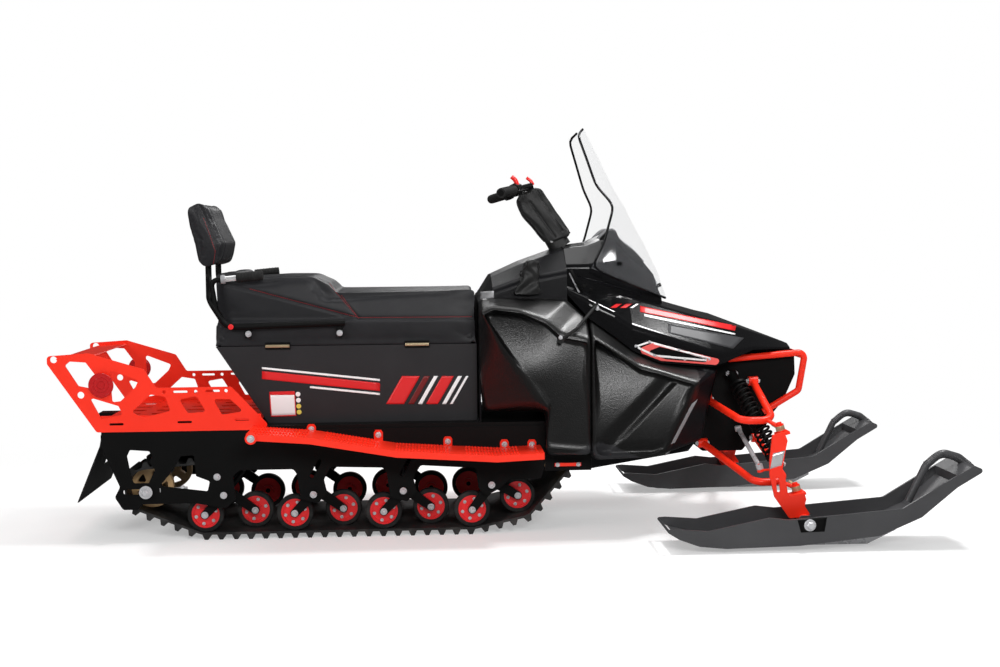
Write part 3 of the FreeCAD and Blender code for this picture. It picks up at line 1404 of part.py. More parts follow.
def make_steering():
    top, low, down = post_line()
    node("steering_post", rod("steering_post", top, low, "sizes.post_radius"))
    back, drop, wide = size.bar_back, size.bar_drop, size.bar_half_width
    clamp = top - down * (size.bar_radius + size.seat_gap)
    third = wide / 3
    spots = [(clamp.x - back, -wide, clamp.z - drop), (clamp.x, -third, clamp.z),
             (clamp.x, third, clamp.z),
             (clamp.x - back, wide, clamp.z - drop)]
    bar = bent_tube("handlebar", spots, "sizes.bar_radius", size.bar_bend)
    node("handlebar", bar)
    end = Vector(*spots[0])
    along = (Vector(*spots[1]) - end).normalize()
    grip = rod("grip_outer", end, end + along * size.grip_length, "sizes.grip_radius")
    bore = rod("grip_bore", end - along * size.cut_overrun,
               end + along * (size.grip_length + size.cut_overrun),
               "sizes.bar_radius + sizes.fit_gap")
    pair("hand_grips", cut("hand_grip", grip, bore))
    perch_at = end + along * (size.grip_length + size.grip_radius)
    perch = rod("perch", perch_at, perch_at + along * size.grip_radius * 2, "sizes.grip_radius * 1.1")
    perch_bore = rod("perch_bore", perch_at - along * size.cut_overrun,
                     perch_at + along * (size.grip_radius * 2 + size.cut_overrun),
                     "sizes.bar_radius + sizes.fit_gap")
    blade_root = perch_at + along * size.grip_radius + Vector(size.grip_radius, 0, 0)
    blade_mid = blade_root + Vector(size.grip_radius * 1.3, -size.grip_radius, 0)
    blade = bent_tube("lever_blade", [tuple(blade_root), tuple(blade_mid),
                                      tuple(blade_mid - along * size.grip_length * 0.8)],
                      "sizes.bar_radius * 0.4",
                      size.grip_radius / 2)
    pair("hand_levers", cut("hand_lever", fuse("lever_joined", [perch, blade]), perch_bore))
    rise, back = top.z - low.z, low.x - top.x
    outline = spread(RISER_SHARES, top.x, top.z, back, rise)
    cover = pad("riser_block", "side", [rounded(outline, size.riser_corner)], "-sizes.riser_width / 2",
                "sizes.riser_width")
    tools = [rod("riser_hole", top - down * size.riser_width, low, "sizes.post_radius + sizes.seat_gap"),
             rod("riser_bar_hole", (clamp.x, -third, clamp.z), (clamp.x, third, clamp.z),
                 "sizes.bar_radius + sizes.seat_gap")]
    node("riser_cover", cut("riser_cover", cover, group("riser_tools", tools)))
    centre = low - down * size.bearing_length
    shell = rod("bearing_shell", centre, low, "sizes.bearing_radius")
    hollow = rod("bearing_bore", centre - down * size.bearing_length, low + down * size.bearing_length,
                 "sizes.post_radius + sizes.seat_gap")
    legs = []
    engine_top = engine_low() + size.engine_height
    for side in (-1, 1):
        root = low - down * (size.bearing_length / 2)
        legs.append(rod("bearing_leg_%d" % (side + 1), (root.x, side * size.bearing_radius * 0.8, root.z),
                        (size.engine_rear_x + size.bearing_length, side * size.engine_width / 3,
                         engine_top + size.seat_gap),
                        "sizes.bearing_leg_radius"))
    floor = block("bearing_floor", (size.engine_rear_x, -size.engine_width / 2,
                                    engine_top - size.engine_height),
                  (size.engine_rear_x + size.engine_length, size.engine_width / 2,
                   engine_top + size.seat_gap))
    whole = cut("bearing_cut", fuse("bearing_joined", [shell] + legs), group("bearing_tools", [hollow]))
    node("steering_bearing", cut("steering_bearing", whole, floor))


# Body shells

KNEE_INNER_SHARES = [(0.0, 0.975), (0.25, 0.98), (0.50, 0.972), (0.80, 0.965), (0.914, 0.90),
                     (1.0, 0.853),
                     (1.0, 0.34), (1.0, 0.0), (0.62, 0.0), (0.60, 0.28), (0.03, 0.28), (0.0, 0.48)]
KNEE_OUTER_SHARES = [(0.0, 0.90), (0.09, 0.935), (0.36, 0.915), (0.58, 0.853), (0.72, 0.775),
                     (1.0, 0.735),
                     (1.0, 0.32), (1.0, 0.03), (0.577, 0.055), (0.605, 0.30), (0.532, 0.37),
                     (0.184, 0.695)]
SIDE_INNER_SHARES = [(0.0, 1.045), (0.20, 0.915), (0.335, 0.81), (0.54, 0.714), (0.933, 0.678),
                     (0.99, 0.65),
                     (0.92, 0.39), (0.87, 0.14), (0.57, 0.047), (0.0, 0.0)]
SIDE_OUTER_SHARES = [(0.0, 0.932), (0.10, 0.875), (0.358, 0.718), (0.51, 0.681), (0.79, 0.584),
                     (0.785, 0.56),
                     (0.731, 0.464), (0.55, 0.09), (0.47, 0.055), (0.0, 0.05)]


def side_shell(name, inner_shares, outer_shares, x, z, length, height):
    """A faceted panel between an inner and an outer outline, hollow and open inward."""
    wide, far, wall = size.tunnel_half_width, size.panel_outer_y, size.panel_wall

    def ring_at(points, y):
        corners = [Vector(a, -y, b) for a, b in points]
        return [Part.makeLine(p, corners[(i + 1) % len(corners)]) for i, p in enumerate(corners)]

    outlines = [spread(inner_shares, x, z, length, height), spread(outer_shares, x, z, length, height)]
    skins = []
    for depth in (0, wall):
        rings = []
        for points, y in zip(outlines, (wide, far)):
            wire = Part.Wire(ring_at(points, y - (depth if y == far else 0)))
            if depth:
                wire = wire.makeOffset2D(-depth)
            rings.append(wire)
        sections = []
        for i, wire in enumerate(rings):
            section = doc.addObject("Part::Feature", "%s_section_%d_%d" % (name, depth, i))
            section.Shape = wire
            sections.append(section)
        skins.append(loft("%s_skin_%d" % (name, depth), sections, ruled=True))
    return cut(name, skins[0], skins[1])


def make_side_shells():
    x = size.console_rear_x
    z = size.knee_low_z
    knee = side_shell("knee_panel", KNEE_INNER_SHARES, KNEE_OUTER_SHARES, x, z, size.seam_x - x,
                      size.knee_top_z - z)
    pair("knee_panels", knee)
    x = size.seam_x + size.seat_gap
    z = size.side_low_z
    side = side_shell("side_panel", SIDE_INNER_SHARES, SIDE_OUTER_SHARES, x, z, size.side_front_x - x,
                      size.side_top_z - z)
    pair("side_panels", side)


# Each row is one cross-section: its place along the shell, its half-width, and
# the heights of its foot, its shoulder and its crown.
CONSOLE_SHARES = [
    (0.00, 1.0, 0.08, 0.16, 0.26),
    (0.16, 1.0, 0.00, 0.40, 0.59),
    (0.50, 1.0, 0.00, 0.54, 0.78),
    (1.00, 1.0, 0.00, 0.64, 1.00),
]
HOOD_SHARES = [
    (0.000, 0.873, 0.540, 0.598, 0.648),
    (0.087, 0.960, 0.330, 0.500, 0.635),
    (0.192, 1.000, 0.172, 0.380, 0.590),
    (0.268, 1.000, 0.045, 0.262, 0.555),
    (0.381, 1.000, -0.065, 0.180, 0.490),
    (0.600, 0.970, -0.107, 0.030, 0.355),
    (0.660, 0.920, -0.080, 0.010, 0.325),
    (0.810, 0.633, 0.014, 0.040, 0.204),
    (1.000, 0.327, 0.000, 0.014, 0.049),
]
COWL_SHARES = [
    (0.000, 0.717, 0.573, 0.797, 0.978),
    (0.096, 0.750, 0.548, 0.797, 1.000),
    (0.160, 0.700, 0.530, 0.810, 1.055),
    (0.222, 0.600, 0.510, 0.830, 1.115),
    (0.330, 0.500, 0.460, 0.740, 0.900),
    (0.400, 0.400, 0.420, 0.600, 0.720),
    (0.432, 0.333, 0.399, 0.474, 0.549),
]


# How far the shoulders stand in, how far the crown falls to its edges, and how round
# the corners are, in shares of the half-width or of the rise over the shoulders.
ARCH_SHOULDER_SHARE = 0.99
ARCH_FALL_SHARE = 0.15
ARCH_ROUND_SHARE = 0.12
HOOD_TOP_SHARE = 0.6
CONSOLE_TOP_SHARE = 0.5


def arch(x, wide, low, shoulder, crown, top_share):
    """A closed cross-section: a straight bottom and a crowned top, at one X."""
    inner, side = wide * top_share, wide * ARCH_SHOULDER_SHARE
    edge = crown - (crown - shoulder) * ARCH_FALL_SHARE
    over = [(x, wide, low), (x, side, shoulder), (x, inner, edge), (x, 0, crown),
            (x, -inner, edge), (x, -side, shoulder), (x, -wide, low)]
    edges = [g.toShape() for g in rounded(over, wide * ARCH_ROUND_SHARE, close=False)]
    return edges + [Part.makeLine(Vector(*over[-1]), Vector(*over[0]))]


def arch_loft(name, shares, frame, top_share, shrink=0, extra_low=0, ends=(0, 0)):
    """Joins the cross-sections of a shell that fills the box (x, length, half-width, z, height)."""
    x, length, half_width, z, height = frame
    sections = []
    last = len(shares) - 1
    for i, (along, wide, low, shoulder, crown) in enumerate(shares):
        at = x + along * length + (ends[0] if i == 0 else 0) + (ends[1] if i == last else 0)
        section = doc.addObject("Part::Feature", "%s_section_%d" % (name, i))
        section.Shape = Part.Wire(arch(at, wide * half_width - shrink, z + low * height - extra_low,
                                       z + shoulder * height - shrink, z + crown * height - shrink,
                                       top_share))
        sections.append(section)
    return loft(name, sections, ruled=True)


def post_hole(name):
    """The clearance hole that the steering post passes through in the shells."""
    top, low, _ = post_line()
    return rod(name, top, low, "sizes.bearing_radius + sizes.running_gap")


def hood_box():
    """Rear end, length, half-width, foot and height of the hood."""
    z = size.bulkhead_top_z + size.seat_gap
    return size.hood_rear_x, size.hood_front_x - size.hood_rear_x, size.hood_half_width, z, size.hood_top_z - z


# Where the studs that carry the windshield start and stop, in shares of the hood.
STUD_SHARES = [
    ((0.16, 0.60, 0.813), (0.22, 0.92, 0.813)),
    ((0.36, 0.367, 0.553), (0.425, 0.367, 0.61)),
]


def glass_studs(name, radius_expr):
    """The studs that reach from the hood through the windshield."""
    x, length, wide, z, height = hood_box()
    studs = []
    for i, ends in enumerate(STUD_SHARES):
        for side in (-1, 1):
            start, stop = [(x + a * length, side * b * wide, z + c * height) for a, b, c in ends]
            studs.append(rod("%s_%d_%d" % (name, i, side + 1), start, stop, radius_expr))
    return group(name + "s", studs)


def make_hood():
    wall, over = size.panel_wall, size.cut_overrun
    frame = hood_box()
    outer = fuse("hood_outer", [arch_loft("hood_low_outer", HOOD_SHARES, frame, HOOD_TOP_SHARE),
                                arch_loft("hood_cowl_outer", COWL_SHARES, frame, HOOD_TOP_SHARE)])
    inner = fuse("hood_inner", [arch_loft("hood_low_inner", HOOD_SHARES, frame, HOOD_TOP_SHARE, wall,
                                          over, (-over, -wall)),
                                arch_loft("hood_cowl_inner", COWL_SHARES, frame, HOOD_TOP_SHARE, wall,
                                          over, (-over, -wall)),
                                post_hole("hood_hole")])
    studded = fuse("hood_studded", [outer, glass_studs("glass_stud", "sizes.stud_radius")])
    lamp = rod("head_lamp", (size.lamp_front_x - size.lamp_length, -size.lamp_y, size.lamp_z),
               (size.lamp_front_x, -size.lamp_y, size.lamp_z), "sizes.lamp_radius")
    hole = rod("lamp_hole", (size.lamp_front_x - size.lamp_length - size.cut_overrun, -size.lamp_y,
                             size.lamp_z),
               (size.lamp_front_x + size.lamp_length, -size.lamp_y, size.lamp_z),
               "sizes.lamp_radius + sizes.fit_gap")
    node("hood", cut("hood", studded, group("hood_tools", [inner, hole, mirror("lamp_hole_left", hole)])))
    pair("head_lamps", lamp)
    make_hood_trim()


# The vent frame's corners, in shares of the hood's length and height.
VENT_SHARES = [(0.272, 0.05), (0.351, 0.112), (0.635, -0.040), (0.622, -0.090), (0.385, -0.045)]
# The strap's ends and its bend over the knee panel, in shares of the hood's length,
# half-width and height.
STRAP_SHARES = [(0.113, 0.989, 0.444), (0.02, 1.30, 0.265), (-0.045, 1.288, 0.165)]


def make_hood_trim():
    x, length, wide, z, height = hood_box()
    outline = spread(VENT_SHARES, x, z, length, height)
    middle = [sum(p[i] for p in outline) / len(outline) for i in (0, 1)]
    inside = [tuple(m + (v - m) * size.vent_frame_share for v, m in zip(p, middle)) for p in outline]
    frame = pad("hood_vent", "side", [rounded(outline, size.plate_corner),
                                      rounded(inside, size.plate_corner / 2)],
                "sizes.hood_half_width + sizes.fit_gap", "sizes.vent_thickness")
    pair("hood_vents", frame)
    spots = [Vector(x + a * length, -b * wide, z + c * height) for a, b, c in STRAP_SHARES]
    cord = bent_tube("strap_cord", [tuple(p) for p in spots], "sizes.strap_radius", size.strap_radius * 2)
    eyes = []
    for i, spot in enumerate((spots[0], spots[-1])):
        half = size.strap_eye_height / 2
        eyes.append(rod("strap_eye_%d" % i, (spot.x, spot.y - half, spot.z),
                        (spot.x, spot.y + half, spot.z),
                        "sizes.strap_eye_radius"))
    pair("hood_straps", fuse("hood_strap", [cord] + eyes))


GAITER_SHARES = [(-0.5, 0.0), (0.5, 0.0), (0.42, 0.45), (0.46, 1.0), (-0.02, 1.0), (-0.22, 0.45)]


def make_console():
    x, z = size.console_rear_x, size.console_low_z
    wall, over = size.panel_wall, size.cut_overrun
    frame = (x, size.console_front_x - x, size.tunnel_half_width - size.seat_gap, z,
             size.console_top_z - z)
    outer = arch_loft("console_outer", CONSOLE_SHARES, frame, CONSOLE_TOP_SHARE)
    inner = arch_loft("console_inner", CONSOLE_SHARES, frame, CONSOLE_TOP_SHARE, wall, over, (wall, over))
    wide, low = size.tunnel_half_width - size.seat_gap, size.deck_z + size.seat_gap
    rear_wall = block("console_rear_wall", (x, -wide, low),
                      (x + wall, wide, z + CONSOLE_SHARES[0][2] * frame[4] + wall))
    shell = cut("console_shell", fuse("console_walled", [cut("console_hollow", outer, inner), rear_wall]),
                post_hole("console_hole"))
    node("console", shell)
    rise = size.gaiter_top_z - size.gaiter_low_z
    outline = spread(GAITER_SHARES, size.gaiter_x, size.gaiter_low_z, size.gaiter_length, rise)
    bag = pad("gaiter_bag", "side", [rounded(outline, size.rack_corner)], "sizes.gaiter_y",
              "sizes.gaiter_width")
    solid = arch_loft("console_solid", CONSOLE_SHARES, frame, CONSOLE_TOP_SHARE)
    node("shift_gaiter", cut("shift_gaiter", bag, solid))


# Windshield

GLASS_WRAP = math.radians(70)
# Each row is one curve: its middle's place along and up, its ends' place along and
# up, and its half-width.
GLASS_SHARES = [
    (0.111, 1.000, 0.000, 0.962, 0.483),
    (0.276, 0.819, 0.091, 0.808, 0.573),
    (0.429, 0.645, 0.176, 0.659, 0.647),
    (0.530, 0.536, 0.315, 0.543, 1.000),
    (0.755, 0.320, 0.219, 0.345, 1.000),
    (0.895, 0.164, 0.150, 0.262, 0.985),
    (1.000, 0.000, 0.091, 0.196, 0.973),
]


def glass_curve(middle, end, inset, turns):
    """Part of an ellipse from one end of a row round its middle to the other, set in by a thickness."""
    forward = (middle - Vector(end.x, 0, end.z)) / (1 - math.cos(GLASS_WRAP))
    centre = middle - forward
    forward -= Vector(forward).normalize() * inset
    wide = abs(end.y) / math.sin(GLASS_WRAP) - inset
    points = [centre + forward * math.cos(t) + Vector(0, wide * math.sin(t), 0) for t in turns]
    curve = Part.BSplineCurve()
    curve.interpolate(points)
    return curve.toShape(), points[0], points[-1]


def make_windshield():
    x, z = size.glass_rear_x, size.glass_low_z
    length, height = size.glass_front_x - x, size.glass_top_z - z
    sections = []
    for i, (mid_x, mid_z, end_x, end_z, share) in enumerate(GLASS_SHARES):
        middle = Vector(x + mid_x * length, 0, z + mid_z * height)
        end = Vector(x + end_x * length, share * size.glass_half_width, z + end_z * height)
        turns = [GLASS_WRAP * i / 4 for i in range(-4, 5)]
        outer, outer_right, outer_left = glass_curve(middle, end, 0, turns)
        inner, inner_left, inner_right = glass_curve(middle, end, size.glass_thickness, turns[::-1])
        section = doc.addObject("Part::Feature", "glass_section_%d" % i)
        section.Shape = Part.Wire([outer, Part.makeLine(outer_left, inner_left), inner,
                                   Part.makeLine(inner_right, outer_right)])
        sections.append(section)
    sheet_solid = loft("windshield_sheet", sections, ruled=True)
    node("windshield", cut("windshield", sheet_solid, glass_studs("stud_hole",
                                                                  "sizes.stud_radius + sizes.seat_gap")))


def check_and_write():
    """Stops on a failed object, then writes each sub-part to its own file."""
    doc.recompute()
    for item in doc.Objects:
        if "Invalid" in item.State or "Error" in item.State:
            raise RuntimeError("%s did not build: %s" % (item.Name, item.State))
    os.makedirs("parts", exist_ok=True)
    for item in NODES:
        shape = item.Shape
        if shape.isNull() or not shape.isValid() or shape.Volume <= 0:
            raise RuntimeError("%s has no valid solid" % item.Label)
        shape.exportStep("parts/%s.step" % item.Label)
        box = shape.BoundBox
        print("%-20s solids %3d  volume %11.0f  x %7.1f %7.1f  y %7.1f %7.1f  z %7.1f %7.1f" % (
            item.Label, len(shape.Solids), shape.Volume, box.XMin, box.XMax, box.YMin, box.YMax,
                                                                                                box.ZMin,
                                                                                                box.ZMax))


fill_sheet()
make_track()
make_wheels()
make_bogies()
make_axles()
make_frame()
make_mud_flap()
make_rack()
make_hitch()
make_footboards()
make_box()
make_hinges()
make_seat()
make_backrest()
make_bulkhead()
make_belly()
make_bumper()
make_arms()
make_shocks()
make_spindle()
make_tie_rods()
make_skis()
make_steering()
make_side_shells()
make_hood()
make_console()
make_windshield()
check_and_write()
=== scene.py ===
"""Two-seat utility snowmobile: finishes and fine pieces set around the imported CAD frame.

Metres, +X forward, +Y to the rider's left, +Z up, ground at Z = 0.
"""
import math
import bmesh
import bpy
import numpy as np
from mathutils import Matrix, Vector
from mathutils.bvhtree import BVHTree


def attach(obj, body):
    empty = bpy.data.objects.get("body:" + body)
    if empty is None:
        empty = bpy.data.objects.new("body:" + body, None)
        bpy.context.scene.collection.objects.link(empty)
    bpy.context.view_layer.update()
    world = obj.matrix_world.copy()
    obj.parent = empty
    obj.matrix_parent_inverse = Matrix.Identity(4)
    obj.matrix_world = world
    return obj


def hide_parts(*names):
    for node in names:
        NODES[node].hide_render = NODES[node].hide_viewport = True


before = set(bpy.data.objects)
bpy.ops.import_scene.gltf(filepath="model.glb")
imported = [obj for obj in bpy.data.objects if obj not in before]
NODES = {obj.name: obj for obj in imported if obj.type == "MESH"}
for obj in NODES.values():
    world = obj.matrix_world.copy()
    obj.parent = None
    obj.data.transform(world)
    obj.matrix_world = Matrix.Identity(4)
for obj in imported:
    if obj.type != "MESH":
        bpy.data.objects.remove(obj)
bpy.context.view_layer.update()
CHASSIS = ("chassis", "chassis")
SKIS = ("ski_right_body", "ski_left_body")
SPINDLES = ("spindle_right_body", "spindle_left_body")
STEERING = ("steering", "steering")
LID = ("seat_lid", "seat_lid")
AHEAD, INWARD, OUTWARD = (1, 0, 0), (0, 1, 0), (0, -1, 0)

# The fitted camera

CAMERA_PLACE = Vector((-0.2571, -4.6654, 1.0685))
CAMERA_YAW, CAMERA_PITCH, CAMERA_ROLL = math.radians(3.05), math.radians(4.48), math.radians(-0.49)
CAMERA_LENS, CAMERA_SENSOR = 44.96, 36.0
PHOTO_WIDTH, PHOTO_HEIGHT = 1000, 667


def camera_axes():
    """The camera's right, top and ahead directions after its yaw, pitch and roll."""
    ahead = Vector((math.sin(CAMERA_YAW) * math.cos(CAMERA_PITCH), math.cos(CAMERA_YAW) * math.cos(CAMERA_PITCH),
                    -math.sin(CAMERA_PITCH)))
    right = Vector((math.cos(CAMERA_YAW), -math.sin(CAMERA_YAW), 0.0))
    up = right.cross(ahead)
    side = right * math.cos(CAMERA_ROLL) + up * math.sin(CAMERA_ROLL)
    top = up * math.cos(CAMERA_ROLL) - right * math.sin(CAMERA_ROLL)
    return side, top, ahead


CAMERA_SIDE, CAMERA_TOP, CAMERA_AHEAD = camera_axes()


def sight(pixel):
    """The direction in which the camera sees a pixel of the photograph."""
    across = (pixel[0] - PHOTO_WIDTH / 2) / PHOTO_WIDTH * CAMERA_SENSOR / CAMERA_LENS
    rise = (PHOTO_HEIGHT / 2 - pixel[1]) / PHOTO_WIDTH * CAMERA_SENSOR / CAMERA_LENS
    return (CAMERA_AHEAD + CAMERA_SIDE * across + CAMERA_TOP * rise).normalized()


def seen_at(pixel, y):
    """The point that a pixel shows on the upright plane at y."""
    way = sight(pixel)
    return CAMERA_PLACE + way * ((y - CAMERA_PLACE.y) / way.y)

# Shader groups


def new_group(name, inputs, outputs):
    """An empty shader group with named sockets; returns the group, its input node and its output node."""
    group = bpy.data.node_groups.new(name, "ShaderNodeTree")
    for label, kind, value in inputs:
        group.interface.new_socket(label, in_out="INPUT", socket_type=kind).default_value = value
    for label, kind in outputs:
        group.interface.new_socket(label, in_out="OUTPUT", socket_type=kind)
    return group, group.nodes.new("NodeGroupInput"), group.nodes.new("NodeGroupOutput")


def shade(tree, kind, values=(), links=(), **settings):
    """Adds a node, sets its properties and input values, and links its inputs."""
    item = tree.nodes.new(kind)
    for key, value in settings.items():
        setattr(item, key, value)
    for socket, value in values:
        item.inputs[socket].default_value = value
    for socket, source in links:
        tree.links.new(source, item.inputs[socket])
    return item


COLOUR, NUMBER, VECTOR = "NodeSocketColor", "NodeSocketFloat", "NodeSocketVector"
FINISH_OUT = (("Colour", COLOUR), ("Roughness", NUMBER), ("Normal", VECTOR))
SURFACE_IN = ("Base Color", "Roughness", "Normal")
DUST_COLOUR = (0.16, 0.15, 0.14, 1)
COAT_ROUGHNESS = 0.08


def finish_group(name, inputs, build):
    """A group that turns object coordinates into a colour, a roughness and a normal."""
    shared = (("Colour", COLOUR, (0.5, 0.5, 0.5, 1)), ("Roughness", NUMBER, 0.5))
    group, given, out = new_group(name, shared + inputs, FINISH_OUT)
    place = shade(group, "ShaderNodeTexCoord").outputs["Object"]
    for (label, _), source in zip(FINISH_OUT, build(group, given.outputs, place)):
        group.links.new(source, out.inputs[label])
    return group


def tinted(tree, colour, mask, low, high):
    """The colour multiplied by a grey that runs from low to high with the mask."""
    grey = shade(tree, "ShaderNodeMapRange", (("To Min", low), ("To Max", high)), (("Value", mask),))
    return shade(tree, "ShaderNodeVectorMath", (), ((0, colour), (1, grey.outputs[0])),
                 operation="MULTIPLY").outputs[0]


def offset(tree, value, mask, amount):
    """The value moved up and down by the mask about its middle."""
    shift = shade(tree, "ShaderNodeMapRange", (("To Min", -amount), ("To Max", amount)), (("Value", mask),))
    return shade(tree, "ShaderNodeMath", (), ((0, value), (1, shift.outputs[0])), operation="ADD").outputs[0]


def noise(tree, place, scale, detail, **more):
    """A noise mask at a scale in cells a metre."""
    values = (("Scale", scale), ("Detail", detail)) + tuple((key.capitalize(), value) for key, value in more.items())
    return shade(tree, "ShaderNodeTexNoise", values, (("Vector", place),)).outputs["Fac"]


def bumped(tree, height, distance, strength):
    """A normal from a height mask, its strength a number or a socket."""
    bump = shade(tree, "ShaderNodeBump", (("Distance", distance),), (("Height", height),))
    if isinstance(strength, float):
        bump.inputs["Strength"].default_value = strength
    else:
        tree.links.new(strength, bump.inputs["Strength"])
    return bump.outputs[0]


def build_moulded(tree, given, place):
    """Moulded plastic: rounded cells pressed in, with a faint cloud over the colour."""
    cells = shade(tree, "ShaderNodeTexVoronoi", (), (("Vector", place), ("Scale", given["Cells"])),
                  feature="SMOOTH_F1")
    cloud = noise(tree, place, scale=7.0, detail=4.0)
    return (tinted(tree, given["Colour"], cloud, 0.82, 1.18), offset(tree, given["Roughness"], cloud, 0.05),
            bumped(tree, cells.outputs["Distance"], 0.0012, given["Depth"]))


def build_coat(tree, given, place):
    """Powder coat or film: a fine orange peel."""
    cloud = noise(tree, place, scale=5.0, detail=5.0)
    peel = noise(tree, place, scale=420.0, detail=2.0)
    return (tinted(tree, given["Colour"], cloud, 0.93, 1.07), offset(tree, given["Roughness"], cloud, 0.06),
            bumped(tree, peel, 0.0003, given["Peel"]))


def build_hide(tree, given, place):
    """Grained hide: small cells with creases through them."""
    cells = shade(tree, "ShaderNodeTexVoronoi", (("Scale", 520),), (("Vector", place),),
                  feature="DISTANCE_TO_EDGE")
    creases = noise(tree, place, scale=22.0, detail=6.0, distortion=0.6)
    mixed = shade(tree, "ShaderNodeMath", (), ((0, cells.outputs["Distance"]), (1, creases)), operation="ADD")
    return (tinted(tree, given["Colour"], creases, 0.8, 1.2), offset(tree, given["Roughness"], creases, 0.08),
            bumped(tree, mixed.outputs[0], 0.001, given["Grain"]))


def build_rubber(tree, given, place):
    """Rubber with patches of pale dust."""
    dust = noise(tree, place, scale=14.0, detail=8.0, roughness=0.65)
    pores = noise(tree, place, scale=300.0, detail=3.0)
    mask = shade(tree, "ShaderNodeMapRange", (("From Min", 0.48), ("From Max", 0.8)), (("Value", dust),))
    amount = shade(tree, "ShaderNodeMath", (), ((0, mask.outputs[0]), (1, given["Dust"])), operation="MULTIPLY")
    colour = shade(tree, "ShaderNodeMix", ((7, DUST_COLOUR),), ((0, amount.outputs[0]), (6, given["Colour"])),
                   data_type="RGBA")
    return (colour.outputs[2], offset(tree, given["Roughness"], dust, 0.06),
            bumped(tree, pores, 0.0005, 0.5))


def build_metal(tree, given, place):
    """Worked metal: fine lines that run along X."""
    long_way = shade(tree, "ShaderNodeMapping", (("Scale", (40.0, 900, 900)),), (("Vector", place),))
    cloud = noise(tree, place, scale=30.0, detail=4.0)
    lines = noise(tree, long_way.outputs[0], scale=1.0, detail=2.0)
    return (tinted(tree, given["Colour"], cloud, 0.8, 1.15), offset(tree, given["Roughness"], cloud, 0.1),
            bumped(tree, lines, 0.0002, given["Lines"]))


MOULDED = finish_group("moulded_grain", (("Cells", NUMBER, 500), ("Depth", NUMBER, 0.4)), build_moulded)
COAT = finish_group("powder_coat", (("Peel", NUMBER, 0.3),), build_coat)
HIDE = finish_group("seat_hide", (("Grain", NUMBER, 0.4),), build_hide)
RUBBER = finish_group("worn_rubber", (("Dust", NUMBER, 0.3),), build_rubber)
METAL = finish_group("worked_metal", (("Lines", NUMBER, 0.3),), build_metal)


def plain_material(name, colour, values):
    """A material with its viewport colour and its shader's own sockets set; returns it and the shader."""
    made = bpy.data.materials.new(name)
    made.use_nodes = True
    made.diffuse_color = colour
    surface = made.node_tree.nodes["Principled BSDF"]
    for label, value in values:
        surface.inputs[label].default_value = value
    return made, surface


def finish(name, group, colour, roughness, metallic=0.0, coat=0.0, gloss=0.5, **given):
    """A material whose colour, roughness and normal come from a finish group; gloss is the specular level."""
    made, surface = plain_material(name, (*colour, 1), (
        ("Metallic", metallic), ("Coat Weight", coat), ("Coat Roughness", COAT_ROUGHNESS),
        ("Specular IOR Level", gloss)))
    values = [("Colour", (*colour, 1)), ("Roughness", roughness)]
    values += [(label.capitalize(), value) for label, value in given.items()]
    effect = shade(made.node_tree, "ShaderNodeGroup", values, node_tree=group)
    for (label, _), socket in zip(FINISH_OUT, SURFACE_IN):
        made.node_tree.links.new(effect.outputs[label], surface.inputs[socket])
    return made


ORANGE = finish("orange_powder_coat", COAT, (0.86, 0.026, 0.008), 0.34, gloss=0.3, peel=0.25)
WHEEL_RED = finish("wheel_red", MOULDED, (0.72, 0.018, 0.022), 0.34, gloss=0.3, cells=900.0, depth=0.05)
PLATE_BLACK = finish("plate_black", COAT, (0.004, 0.004, 0.004), 0.5, gloss=0.12, peel=0.4)
GLOSS_BLACK = finish("gloss_shell", MOULDED, (0.005, 0.005, 0.0055), 0.13, gloss=0.3, cells=1500.0, depth=0.02)
COARSE_BLACK = finish("coarse_shell", MOULDED, (0.005, 0.005, 0.005), 0.33, gloss=0.6, cells=300.0, depth=0.45)
FINE_BLACK = finish("fine_shell", MOULDED, (0.005, 0.005, 0.006), 0.3, gloss=0.15, cells=900.0, depth=0.25)
SKIRT_BLACK = finish("smooth_skirt", MOULDED, (0.022, 0.022, 0.024), 0.42, gloss=0.25, cells=900.0, depth=0.1)
CHARCOAL = finish("charcoal_panel", MOULDED, (0.020, 0.019, 0.021), 0.45, gloss=0.3, cells=1100.0, depth=0.15)
SKI_BLACK = finish("ski_plastic", MOULDED, (0.055, 0.055, 0.058), 0.36, gloss=0.45, cells=300.0, depth=0.1)
TAN = finish("tan_nylon", MOULDED, (0.50, 0.32, 0.15), 0.5, cells=260.0, depth=0.15)
BELT = finish("belt_rubber", RUBBER, (0.017, 0.017, 0.017), 0.62, gloss=0.3, dust=0.35)
TYRE = finish("tyre_rubber", RUBBER, (0.008, 0.008, 0.008), 0.55, gloss=0.3, dust=0.2)
FLAP = finish("flap_rubber", RUBBER, (0.009, 0.009, 0.009), 0.6, gloss=0.2, dust=0.15)
GRIP = finish("grip_rubber", RUBBER, (0.008, 0.008, 0.008), 0.7, gloss=0.3, dust=0.1)
SEAT_HIDE = finish("seat_hide", HIDE, (0.015, 0.015, 0.017), 0.42, gloss=0.25, grain=0.3)
GAITER_HIDE = finish("gaiter_hide", HIDE, (0.014, 0.014, 0.014), 0.38, gloss=0.35, grain=0.5)
ZINC = finish("zinc_plate", METAL, (0.60, 0.60, 0.62), 0.28, metallic=0.35, lines=0.15)
CHROME = finish("bright_chrome", METAL, (0.86, 0.86, 0.87), 0.08, metallic=0.6, lines=0.02)
BRASS = finish("rod_end_brass", METAL, (0.46, 0.36, 0.22), 0.34, metallic=0.45, lines=0.15)
ALLOY = finish("cast_alloy", METAL, (0.30, 0.30, 0.31), 0.5, metallic=0.3, lines=0.1)
FILM_RED = finish("red_film", COAT, (0.66, 0.012, 0.014), 0.3, peel=0.05)
FILM_DARK = finish("dark_red_film", COAT, (0.16, 0.010, 0.010), 0.3, peel=0.05)
FILM_WHITE = finish("white_film", COAT, (0.85, 0.85, 0.85), 0.3, peel=0.05)
